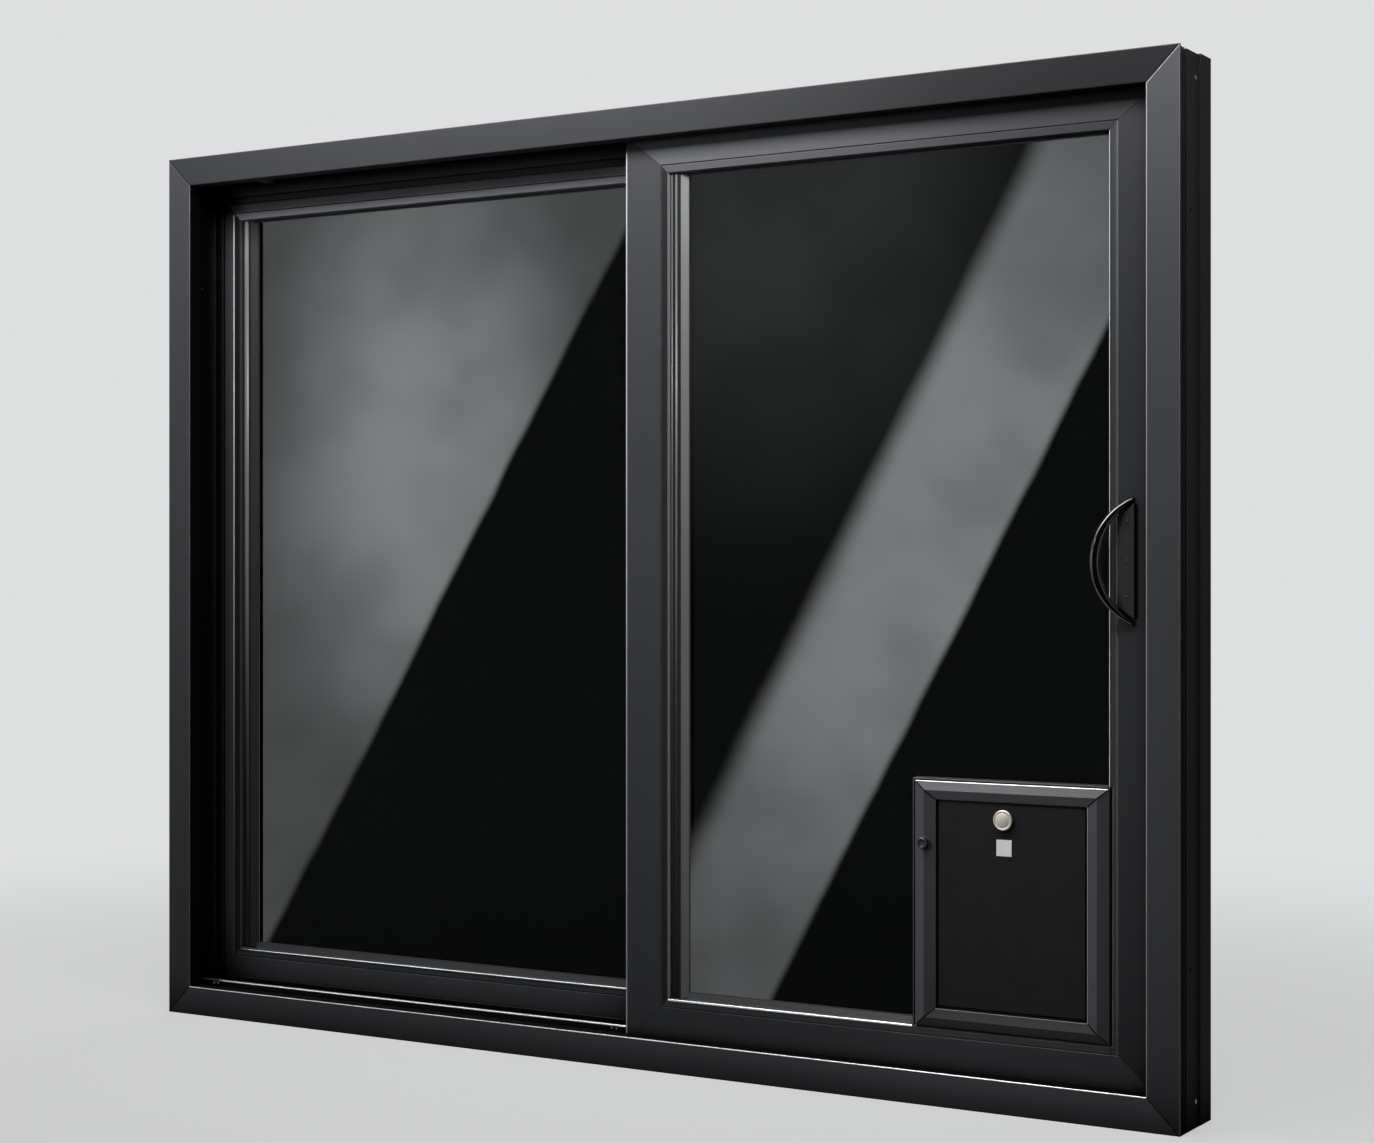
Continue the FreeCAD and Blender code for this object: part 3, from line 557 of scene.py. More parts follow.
@dataclass(frozen=True)
class SmokedGlass(Finish):
    """Dark tinted float glass, faintly wavy like all drawn sheet."""

    RIPPLES = 5.0
    RIPPLE_HEIGHT = 4.0 * MM

    tint: Colour
    waviness: float = 0.03

    def inputs(self, tree: Tree) -> dict[str, object]:
        """Clear dark glass with a very slow ripple.

        Args:
            tree: The material's tree.

        Returns:
            Values and sockets by the shader's input names.
        """
        ripple = tree.noise(tree.place(), self.RIPPLES, 1.0)
        return {
            "Base Color": self.tint,
            "Roughness": 0.0,
            "IOR": 1.5,
            "Transmission Weight": 1.0,
            "Normal": tree.bump(ripple, self.waviness, self.RIPPLE_HEIGHT),
        }


@dataclass(frozen=True)
class DrawnMetal(Finish):
    """Bare or anodised metal with fine lines along its length."""

    LINE_TONE = 0.72

    colour: Colour
    roughness: float = 0.3
    metal: float = 1.0
    line_scales: tuple[float, float, float] = (4.0, 2500.0, 2500.0)
    lines: float = 0.25
    dust: float = 0.1

    def inputs(self, tree: Tree) -> dict[str, object]:
        """Metal whose tone and roughness follow its drawn lines.

        Args:
            tree: The material's tree.

        Returns:
            Values and sockets by the shader's input names.
        """
        lines = EffectShop.place(
            tree, Effect.DRAWN_LINES, Scale_X=self.line_scales[0], Scale_Y=self.line_scales[1],
            Scale_Z=self.line_scales[2], Strength=self.lines)
        dust = EffectShop.place(tree, Effect.SETTLED_DUST, Amount=self.dust).outputs["Mask"]
        metal = tree.blend(
            lines.outputs["Tone"], toned(self.colour, self.LINE_TONE), self.colour)
        return {
            "Base Color": tree.blend(dust, metal, DUST_COLOUR),
            "Metallic": tree.ramp(dust, 0.0, 1.0, self.metal, self.metal * 0.2),
            "Roughness": tree.ramp(
                lines.outputs["Tone"], 0.2, 0.8, self.roughness - 0.06, self.roughness + 0.08),
            "Normal": lines.outputs["Normal"],
        }


@dataclass(frozen=True)
class TurnedMetal(Finish):
    """Satin metal turned on a lathe, with faint rings round the piece's own axis."""

    RING_TONE = 0.9
    RING_HEIGHT = 0.02 * MM

    colour: Colour
    roughness: float = 0.42
    metal: float = 0.8
    rings: float = 700.0

    def inputs(self, tree: Tree) -> dict[str, object]:
        """Metal with rings in its tone and relief, and soft handling marks.

        Args:
            tree: The material's tree.

        Returns:
            Values and sockets by the shader's input names.
        """
        parts = tree.add("SeparateXYZ", {0: tree.place()}).outputs
        flat = tree.add("CombineXYZ", {0: parts[0], 1: parts[1]}).outputs[0]
        radius = tree.add("VectorMath", {0: flat}, operation="LENGTH").outputs["Value"]
        ring = tree.add("CombineXYZ", {0: radius, 1: tree.maths("MULTIPLY", parts[2], 0.6)})
        lines = tree.noise(ring.outputs[0], self.rings, 2.0)
        marks = EffectShop.place(tree, Effect.HANDLING, Scale=120.0).outputs["Mask"]
        return {
            "Base Color": tree.blend(lines, toned(self.colour, self.RING_TONE), self.colour),
            "Metallic": self.metal,
            "Roughness": tree.ramp(marks, 0.0, 1.0, self.roughness, self.roughness + 0.06),
            "Normal": tree.bump(lines, 0.05, self.RING_HEIGHT),
        }


@dataclass(frozen=True)
class Moulded(Finish):
    """Rubber, plastic or pile: one colour with its own grain."""

    GRAIN_TONE = 0.8

    colour: Colour
    roughness: float = 0.55
    grain_scale: float = 1200.0
    grain: float = 0.4
    sheen: float = 0.0
    dust: float = 0.15
    see_through: float = 0.0
    gloss: float = 0.5

    def inputs(self, tree: Tree) -> dict[str, object]:
        """Moulded body with grain, handling marks and dust.

        Args:
            tree: The material's tree.

        Returns:
            Values and sockets by the shader's input names.
        """
        grain = EffectShop.place(
            tree, Effect.FINE_GRAIN, Scale=self.grain_scale, Strength=self.grain)
        marks = EffectShop.place(tree, Effect.HANDLING, Scale=22.0).outputs["Mask"]
        dust = EffectShop.place(tree, Effect.SETTLED_DUST, Amount=self.dust).outputs["Mask"]
        body = tree.blend(
            grain.outputs["Tone"], toned(self.colour, self.GRAIN_TONE), self.colour)
        return {
            "Base Color": tree.blend(dust, body, srgb(140, 137, 130)),
            "Roughness": tree.ramp(marks, 0.0, 1.0, self.roughness, self.roughness + 0.12),
            "Specular IOR Level": self.gloss,
            "Sheen Weight": self.sheen,
            "Transmission Weight": self.see_through,
            "Normal": grain.outputs["Normal"],
        }


class Finishes:
    """The finishes of this door."""

    # The charcoal coats below are one coating in lighter and darker copies per piece, set as
    # painted light and shade. In every Coating, a second colour lighter than the first is a painted
    # highlight along the edges that face the light. The jambs' sides turned right are darkened as
    # painted shade, the left one's almost to black.
    LEFT_JAMB = Coating(
        "left jamb charcoal coat", "frame_coating", srgb(58, 59, 62), srgb(176, 178, 182),
        shade=0.03, reach=0.2, side=0.06)
    RIGHT_JAMB = Coating(
        "right jamb charcoal coat", "frame_coating", srgb(63, 64, 67), srgb(176, 178, 182),
        shade=0.04, reach=0.2, side=0.75)
    # Lighter copy for the sill face, with its upward faces darkened as painted shade.
    SILL = Coating(
        "sill charcoal coat", "frame_coating", srgb(92, 93, 97), srgb(92, 93, 97),
        highlight_metal=0.0, shade=0.02, reach=0.2, up=0.05)
    # Darker copy for the head, darkening further towards the right as painted shade.
    HEAD = Coating(
        "head charcoal coat", "frame_coating", srgb(43, 44, 47), srgb(176, 178, 182),
        shade=0.04, reach=0.2, fade=(-0.1, 1.25, 0.4))
    PANEL = Coating(
        "panel charcoal coat", "panel_coating", srgb(56, 57, 60), srgb(150, 152, 156),
        edge_right=0.12, reach=0.05)
    # Darker copy for the lock stile, as painted shade.
    LOCK_STILE = Coating(
        "lock stile charcoal coat", "panel_coating", srgb(40, 41, 43), srgb(120, 122, 126),
        edge_right=0.12, gloss=0.4, reach=0.08)
    # Lighter copy for the sliding top rail as painted light, darkening towards the right as painted
    # shade.
    TOP_RAIL = Coating(
        "top rail charcoal coat", "panel_coating", srgb(88, 89, 93), srgb(150, 152, 156),
        reach=0.02, fade=(0.15, 1.2, 0.42))
    FIXED_PANEL = Coating(
        "fixed panel charcoal coat", "panel_coating", srgb(78, 79, 83), srgb(120, 122, 126),
        edge_right=0.12, shade=0.03, reach=0.2)
    # Much lighter copy for the fixed top rail, as painted light where the head shades it.
    FIXED_TOP = Coating(
        "fixed top rail charcoal coat", "panel_coating", srgb(136, 137, 142),
        srgb(142, 144, 148), edge_right=0.12, shade=0.03, reach=0.06)
    BEAD = Coating(
        "bead charcoal coat", "bead_coating", srgb(60, 61, 64), srgb(60, 61, 64),
        highlight_metal=0.0, grain=0.04, shade=0.2, reach=0.04)
    # Top beads: lighter copies as painted light, the sliding one darkening towards the right as
    # painted shade.
    TOP_BEAD = Coating(
        "top bead charcoal coat", "bead_coating", srgb(78, 79, 83), srgb(78, 79, 83),
        highlight_metal=0.0, grain=0.04, shade=0.1, reach=0.03, fade=(0.15, 1.2, 0.42))
    FIXED_TOP_BEAD = Coating(
        "fixed top bead charcoal coat", "bead_coating", srgb(126, 127, 132),
        srgb(126, 127, 132), highlight_metal=0.0, grain=0.04, shade=0.1, reach=0.03)
    # Near-white painted highlight along the right bead's slope.
    RIGHT_BEAD = Coating(
        "right bead charcoal coat", "bead_coating", srgb(48, 49, 52), srgb(244, 245, 246),
        edge_start=0.112, edge_end=0.132, highlight_metal=0.0, grain=0.04, shade=0.4, reach=0.03)
    # Trims in darker copies as painted shade, with painted highlights along their slopes.
    LEFT_TRIM = Coating(
        "left trim charcoal coat", "bead_coating", srgb(11, 11, 12), srgb(218, 220, 223),
        edge_start=0.112, edge_end=0.132, edge_right=0.34, grain=0.04, reach=0.05)
    FIXED_TRIM = Coating(
        "fixed trim charcoal coat", "bead_coating", srgb(24, 25, 26), srgb(88, 90, 92),
        edge_start=0.112, edge_end=0.132, edge_right=0.2, grain=0.04, reach=0.05)
    # Black stop coat, darkened further as painted shade in the recesses.
    STOP = Coating(
        "stop black coat with painted shade", "stop_coating", srgb(12, 12, 13), srgb(44, 45, 47),
        roughness=0.5, highlight_metal=0.3, shade=0.02)
    INTERLOCK = Coating(
        "interlock matt black coat", "interlock_coating", srgb(28, 28, 30), srgb(86, 87, 90),
        roughness=0.5, highlight_metal=0.3)
    # Ribs in a lighter tone than the trim that they stand on, as painted highlight.
    TRIM_RIB = Coating(
        "trim rib coat", "bead_coating", srgb(98, 99, 101), srgb(112, 114, 116),
        roughness=0.3, highlight_metal=0.0, shade=0.5, reach=0.03)
    FIXED_RIB = Coating(
        "fixed trim rib coat", "bead_coating", srgb(112, 113, 115), srgb(140, 142, 144),
        roughness=0.3, highlight_metal=0.0, shade=0.5, reach=0.03)
    # Lines laid along edges as painted highlights; the light coats are never shaded, and the bright
    # metal strip also shines with the lamps' reflections.
    LIT_LINE = Coating(
        "painted highlight coat", "bead_coating", srgb(206, 208, 211), srgb(206, 208, 211),
        roughness=0.3, highlight_metal=0.0, shade=1.0, grain=0.0)
    WHITE_LINE = DrawnMetal(
        "bright metal painted highlight", "track_aluminium", srgb(246, 247, 249), roughness=0.24,
        lines=0.0, dust=0.0)
    SOFT_LINE = Coating(
        "painted soft highlight coat", "bead_coating", srgb(96, 98, 101), srgb(96, 98, 101),
        roughness=0.3, highlight_metal=0.0, shade=1.0, grain=0.0)
    PAINTED_EDGE_HIGHLIGHT = Coating(
        "painted pale highlight coat", "bead_coating", srgb(172, 174, 178), srgb(172, 174, 178),
        roughness=0.3, highlight_metal=0.0, shade=1.0, grain=0.0)
    # Dark sealant at the joints, also laid beside the pull plate as a painted shadow.
    DARK_JOINT_AND_SHADOW = Moulded(
        "joint sealant and painted shadow", "bumper_rubber", srgb(10, 10, 11), roughness=0.7, dust=0.0, gloss=0.05)
    GLASS = SmokedGlass("smoked glass", "tinted_glass", srgb(66, 68, 69))
    SPACER = DrawnMetal(
        "spacer aluminium", "spacer_aluminium", srgb(150, 152, 154), roughness=0.34)
    # Dark coat on the aluminium track as painted shade, under the painted highlight on its crown.
    TRACK = Coating(
        "track rail with painted shade", "track_aluminium", srgb(52, 53, 55), srgb(52, 53, 55),
        highlight_metal=0.0, grain=0.05, shade=0.02, reach=0.12)
    KEEPER = DrawnMetal(
        "keeper steel", "keeper_steel", srgb(176, 176, 178),
        line_scales=(2500.0, 2500.0, 30.0))
    SCREW = DrawnMetal(
        "screw steel", "keeper_steel", srgb(150, 150, 154), roughness=0.28,
        line_scales=(900.0, 900.0, 900.0), lines=0.15, dust=0.0)
    DARK_SCREW = Coating(
        "blackened screw", "handle_coating", srgb(60, 60, 63), srgb(150, 151, 154),
        roughness=0.36, grain=0.1)
    HANDLE = Coating(
        "handle satin black", "handle_coating", srgb(46, 46, 48), srgb(150, 151, 154),
        roughness=0.36, grain=0.14)
    # Painted highlights along the bow's edges that face up or left.
    BOW = Coating(
        "bow gloss black", "bow_gloss", srgb(8, 8, 9), srgb(230, 232, 234), roughness=0.14,
        edge_roughness=0.14, edge_start=0.3, edge_end=0.42, highlight_metal=0.0, grain=0.02,
        tone_change=0.05, dust=0.0, wet=True, shade=0.9)
    # Pet door coats with painted edge highlights; the foot is a darker copy with its upward faces
    # darkened, as painted shade.
    PET_FRAME = Coating(
        "pet door satin coat", "pet_frame_coating", srgb(68, 69, 73), srgb(186, 188, 192),
        roughness=0.34, highlight_metal=0.6, gloss=0.72, reach=0.04)
    PET_FOOT = Coating(
        "pet door foot coat", "pet_frame_coating", srgb(60, 61, 64), srgb(186, 188, 192),
        roughness=0.4, highlight_metal=0.6, gloss=0.4, reach=0.04, up=0.0)
    BOARD = Moulded(
        "cover board", "cover_board", srgb(27, 27, 29), roughness=0.7, grain_scale=700.0,
        dust=0.0, gloss=0.12)
    FLAP = Moulded(
        "flap sheet", "flap_plastic", srgb(62, 64, 68), roughness=0.3, grain=0.12,
        see_through=0.25)
    RUBBER = Moulded("glazing rubber", "bumper_rubber", srgb(34, 34, 36), roughness=0.62)
    PILE = Moulded(
        "pile", "bumper_rubber", srgb(26, 26, 27), roughness=0.9, grain_scale=2600.0,
        grain=1.0, sheen=0.3)
    ROLLER = Moulded("roller nylon", "roller_plastic", srgb(64, 64, 66), roughness=0.4)
    NICKEL = TurnedMetal("satin nickel", "satin_nickel", srgb(200, 191, 181))
    # Near-white non-metal colour on the nickel plate, as a painted reflection.
    PLATE = DrawnMetal(
        "nickel plate with painted reflection", "satin_nickel", srgb(250, 246, 242), roughness=0.45, metal=0.0,
        line_scales=(30.0, 2500.0, 2500.0), lines=0.06, dust=0.0)
    PIN = Coating(
        "pin satin black", "pin_coating", srgb(46, 46, 49), srgb(190, 191, 195),
        roughness=0.3, grain=0.1)


# Making and dressing pieces

@dataclass(frozen=True)
class Rounding:
    """The small radius that tools and coating leave along an edge."""

    WELD = 0.02 * MM
    FLATTEST = math.radians(0.6)
    NORMAL_WEIGHT = 80

    width: float = 0.6 * MM
    segments: int = 2
    sharpest: float = math.radians(20)

    def apply(self, piece: bpy.types.Object) -> None:
        """Rounds the sharp edges of a piece, with modifiers.

        Args:
            piece: A mesh object. Its own mesh stays as it is.
        """
        weld = piece.modifiers.new("weld", "WELD")
        weld.merge_threshold = self.WELD
        flats = piece.modifiers.new("flats", "DECIMATE")
        flats.decimate_type = "DISSOLVE"
        flats.angle_limit = self.FLATTEST
        edges = piece.modifiers.new("edges", "BEVEL")
        edges.width = self.width
        edges.segments = self.segments
        edges.limit_method = "ANGLE"
        edges.angle_limit = self.sharpest
        edges.miter_outer = "MITER_ARC"
        normals = piece.modifiers.new("normals", "WEIGHTED_NORMAL")
        normals.weight = self.NORMAL_WEIGHT


@dataclass(frozen=True)
class NodeBox:
    """Corners of a CAD node at rest."""

    low: Vector
    high: Vector

    @classmethod
    def of(cls, node: str) -> "NodeBox":
        """Box of the node of that name."""
        return cls(*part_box(node))

    @property
    def centre(self) -> Vector:
        """Middle of the box."""
        return (self.low + self.high) / 2


def dress(node: str, finish: Finish, rounding: Rounding | None = None) -> None:
    """Gives a CAD node its finish.

    Args:
        node: The node's name.
        finish: The finish to give it.
        rounding: How its edges are rounded, if they are.
    """
    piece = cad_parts[node]
    piece.data.materials.clear()
    piece.data.materials.append(finish.material())
    if rounding:
        rounding.apply(piece)
    LOG.info("dressed %s in %s", node, finish.name)


def dress_all(nodes: Sequence[str], finish: Finish, rounding: Rounding | None = None) -> None:
    """Gives several CAD nodes the same finish."""
    for node in nodes:
        dress(node, finish, rounding)


def new_object(name: str, data: bpy.types.ID) -> bpy.types.Object:
    """Makes an object in the scene.

    Args:
        name: The object's name.
        data: Its mesh, lamp or camera.

    Returns:
        The new object.
    """
    made = bpy.data.objects.new(name, data)
    bpy.context.scene.collection.objects.link(made)
    return made


def finish_piece(name: str, bm: bmesh.types.BMesh, finish: Finish, body: str,
                 place: Matrix | None = None) -> bpy.types.Object:
    """Turns a bmesh into a finished piece that rides on a body.

    Args:
        name: The piece's name.
        bm: Its mesh, which is freed.
        finish: Its finish.
        body: The CAD body that it rides on.
        place: Where the mesh's own frame stands, or None where that is the row's frame.

    Returns:
        The new object.
    """
    bmesh.ops.recalc_face_normals(bm, faces=bm.faces)
    mesh = bpy.data.meshes.new(name)
    bm.to_mesh(mesh)
    bm.free()
    mesh.materials.append(finish.material())
    mesh.shade_smooth()
    piece = new_object(name, mesh)
    if place is not None:
        piece.matrix_world = place
    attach(piece, body)
    LOG.info("made %s on %s", name, body)
    return piece


def bridge(bm: bmesh.types.BMesh, rings: Sequence[Sequence[bmesh.types.BMVert]]) -> None:
    """Joins each closed ring of points to the next with faces.

    Args:
        bm: The mesh.
        rings: Rings with the same number of points.
    """
    for ring, following in zip(rings, rings[1:]):
        for j in range(len(ring)):
            k = (j + 1) % len(ring)
            bm.faces.new((ring[j], following[j], following[k], ring[k]))


def on_face(face: float, *corners: Flat) -> list[Vector]:
    """Points on an upright face of the door, from their places in x and z."""
    return [Vector((x, face, z)) for x, z in corners]


def loop_sweep(path: Sequence[Flat], section: Sequence[Flat], face: float) -> bmesh.types.BMesh:
    """Closed strip that follows a path of right angles in the door's plane.

    Args:
        path: Corners as (x, z), anticlockwise seen from the room.
        section: The strip's section as (distance in from the path, distance in y).
        face: Place in y that the section's second value is measured from.

    Returns:
        The strip's mesh.
    """
    bm = bmesh.new()
    rings = []
    count = len(path)
    for i, (x, z) in enumerate(path):
        inward = Vector((0, 0))
        for start, end in ((path[i - 1], path[i]), (path[i], path[(i + 1) % count])):
            run = Vector(end) - Vector(start)
            inward += Vector((-run.y, run.x)).normalized()
        rings.append([
            bm.verts.new((x + inward.x * u, face + v, z + inward.y * u)) for u, v in section])
    bridge(bm, [*rings, rings[0]])
    return bm


def strip(section: Sequence[Vector], run: Vector, bm: bmesh.types.BMesh | None = None,
          steps: int = 1) -> bmesh.types.BMesh:
    """Straight strip of one section.

    Args:
        section: Corners of the section where the strip begins.
        run: From the strip's beginning to its end.
        bm: A mesh to add to, or None for a new one.
        steps: How many lengths it is divided in.

    Returns:
        The strip's mesh.
    """
    bm = bm or bmesh.new()
    rings = [[bm.verts.new(p + run * (i / steps)) for p in section] for i in range(steps + 1)]
    bridge(bm, rings)
    bm.faces.new(rings[0])
    bm.faces.new(rings[-1])
    return bm


def turned(profile: Sequence[Flat], segments: int = 64) -> bmesh.types.BMesh:
    """Solid of revolution about its own Z axis.

    Args:
        profile: Points as (radius, height), from the axis at the foot to the axis at the top.
        segments: Sides of the round.

    Returns:
        The mesh.
    """
    bm = bmesh.new()
    angles = [math.tau * i / segments for i in range(segments)]
    rings = []
    for radius, height in profile:
        if radius < 1e-9:
            rings.append([bm.verts.new((0, 0, height))])
        else:
            rings.append([
                bm.verts.new((radius * math.cos(a), radius * math.sin(a), height))
                for a in angles])
    for low, high in zip(rings, rings[1:]):
        for i in range(segments):
            j = (i + 1) % segments
            corners = [low[i % len(low)], low[j % len(low)], high[j % len(high)],
                       high[i % len(high)]]
            bm.faces.new(list(dict.fromkeys(corners)))
    return bm


def facing(direction: Vector, place: Vector) -> Matrix:
    """Frame whose Z axis points along a direction.

    Args:
        direction: Where Z points.
        place: Where the frame's origin is.

    Returns:
        The frame's matrix.
    """
    turn = direction.to_track_quat("Z", "Y").to_matrix().to_4x4()
    return Matrix.Translation(place) @ turn


def arc_points(centre: Flat, radius: float, start: float, end: float, count: int) -> list[Flat]:
    """Points along an arc.

    Args:
        centre: The arc's centre.
        radius: Its radius.
        start: First angle, in degrees.
        end: Last angle, in degrees.
        count: How many points there are.

    Returns:
        The points, both ends included.
    """
    angles = [math.radians(start + (end - start) * i / (count - 1)) for i in range(count)]
    return [(centre[0] + radius * math.cos(a), centre[1] + radius * math.sin(a)) for a in angles]


@dataclass(frozen=True)
class Screw:
    """Low domed screw head with a cross recess."""

    radius: float = 3.5 * MM
    height: float = 1.4 * MM
    segments: int = 24

    def add(self, bm: bmesh.types.BMesh, place: Vector, direction: Vector) -> None:
        """Adds one head to a mesh.

        Args:
            bm: The mesh.
            place: Middle of the head's seat.
            direction: The way that the head faces.
        """
        matrix = facing(direction, place)
        r, h = self.radius, self.height
        profile = [(r, 0.0), (r, h * 0.35), (r * 0.86, h * 0.72), (r * 0.66, h)]
        rings = []
        for radius, height in profile:
            rings.append([bm.verts.new(matrix @ Vector((
                radius * math.cos(math.tau * i / self.segments),
                radius * math.sin(math.tau * i / self.segments), height)))
                for i in range(self.segments)])
        for low, high in zip(rings, rings[1:]):
            for i in range(self.segments):
                j = (i + 1) % self.segments
                bm.faces.new((low[i], low[j], high[j], high[i]))
        bm.faces.new(rings[0])
        arm, half = r * 0.5, r * 0.12
        cross = [(arm, -half), (arm, half), (half, half), (half, arm), (-half, arm),
                 (-half, half), (-arm, half), (-arm, -half), (-half, -half), (-half, -arm),
                 (half, -arm), (half, -half)]
        rim = [bm.verts.new(matrix @ Vector((x, y, h))) for x, y in cross]
        floor = [bm.verts.new(matrix @ Vector((x * 0.7, y * 0.7, h * 0.25))) for x, y in cross]
        for i in range(len(cross)):
            j = (i + 1) % len(cross)
            bm.faces.new((rim[i], rim[j], floor[j], floor[i]))
        bm.faces.new(floor)
        edges = [bm.edges.get((loop[i - 1], loop[i])) for loop in (rings[-1], rim)
                 for i in range(len(loop))]
        bmesh.ops.triangle_fill(bm, use_beauty=True, edges=edges, normal=direction)

    def make(self, name: str, places: Sequence[tuple[Vector, Vector]], finish: Finish,
             body: str) -> bpy.types.Object:
        """One piece with a head at each place.

        Args:
            name: The piece's name.
            places: Seat and direction of each head.
            finish: The screws' finish.
            body: The body that they are driven into.

        Returns:
            The new object.
        """
        bm = bmesh.new()
        for place, direction in places:
            self.add(bm, place, direction)
        return finish_piece(name, bm, finish, body)


@dataclass(frozen=True)
class Seam:
    """Fine line laid on a face: a dark joint between two pieces, a painted highlight line, or a
    painted shadow strip.
    """

    width: float = 1.5 * MM
    rise: float = 0.2 * MM
    sink: float = 0.3 * MM
    rounded: bool = False
    flat_share: float = 0.7
    arc_steps: int = 8

    def add(self, bm: bmesh.types.BMesh, points: Sequence[Vector]) -> None:
        """Adds a line through some points.

        Args:
            bm: The mesh.
            points: Where it runs, on the face that it lies on.
        """
        for start, end in zip(points, points[1:]):
            run = end - start
            side = run.cross(TOWARDS_ROOM).normalized() * (self.width / 2)
            out = run.cross(side).normalized()
            out = out if out.dot(TOWARDS_ROOM) > 0 else -out
            if self.rounded:
                turns = [math.pi * (1 - step / self.arc_steps)
                         for step in range(self.arc_steps + 1)]
                section = [start + side * math.cos(turn) + out * (self.rise * math.sin(turn))
                           for turn in turns]
            else:
                flat, foot, top = side * self.flat_share, out * self.sink, out * self.rise
                section = [start - side - foot, start - flat + top, start + flat + top,
                           start + side - foot]
            strip(section, run, bm)

    def make(self, name: str, lines: Sequence[Sequence[Vector]], finish: Finish,
             body: str) -> bpy.types.Object:
        """One piece with all its lines.

        Args:
            name: The piece's name.
            lines: The points of each line.
            finish: The line's finish.
            body: The body that it lies on.

        Returns:
            The new object.
        """
        bm = bmesh.new()
        for points in lines:
            self.add(bm, points)
        piece = finish_piece(name, bm, finish, body)
        piece.data.set_sharp_from_angle(angle=math.radians(50))
        return piece


@dataclass(frozen=True)
class PileStrip:
    """Woven pile strip: a flat backing with a ruffled brush on it, towards outdoors."""

    width: float = 6.0 * MM
    height: float = 4.4 * MM
    backing: float = 0.8 * MM
    margin: float = 0.28
    tip: Flat = (0.62, 0.38)
    step: float = 14 * MM
    ruffle: float = 0.05
    waves: Flat = (0.37, 0.113)

    def make(self, name: str, start: Vector, run: Vector, across: Vector,
             body: str) -> bpy.types.Object:
        """Makes one strip.

        Args:
            name: The piece's name.
            start: Corner where the strip begins.
            run: From its beginning to its end.
            across: Direction of its width.
            body: The body that it is held by.

        Returns:
            The new object.
        """
        height, back = self.height, self.backing / self.height
        section = [(0.0, 0.0), (1.0, 0.0), (1.0, back), (1.0 - self.margin, back),
                   (self.tip[0], 1.0), (self.tip[1], 1.0), (self.margin, back), (0.0, back)]
        corners = [start + across * (u * self.width) + TOWARDS_OUTDOORS * (v * height)
                   for u, v in section]
        bm = strip(corners, run, steps=max(2, int(run.length / self.step)))
        tips = [v for v in bm.verts if v.co.y > start.y + height * 0.9]
        for v in tips:
            at = (v.co - start).length / MM
            wave = 1 + math.sin(at * self.waves[0]) * math.cos(at * self.waves[1])
            v.co.y -= height * self.ruffle * wave
        return finish_piece(name, bm, Finishes.PILE, body)


class Body(Enum):
    """The bodies that move on their own."""

    FRAME = "frame"
    SLIDER = "sliding_panel"
    COVER = "pet_cover_panel"
    PIN = "lock_pin"


# Sub-assemblies

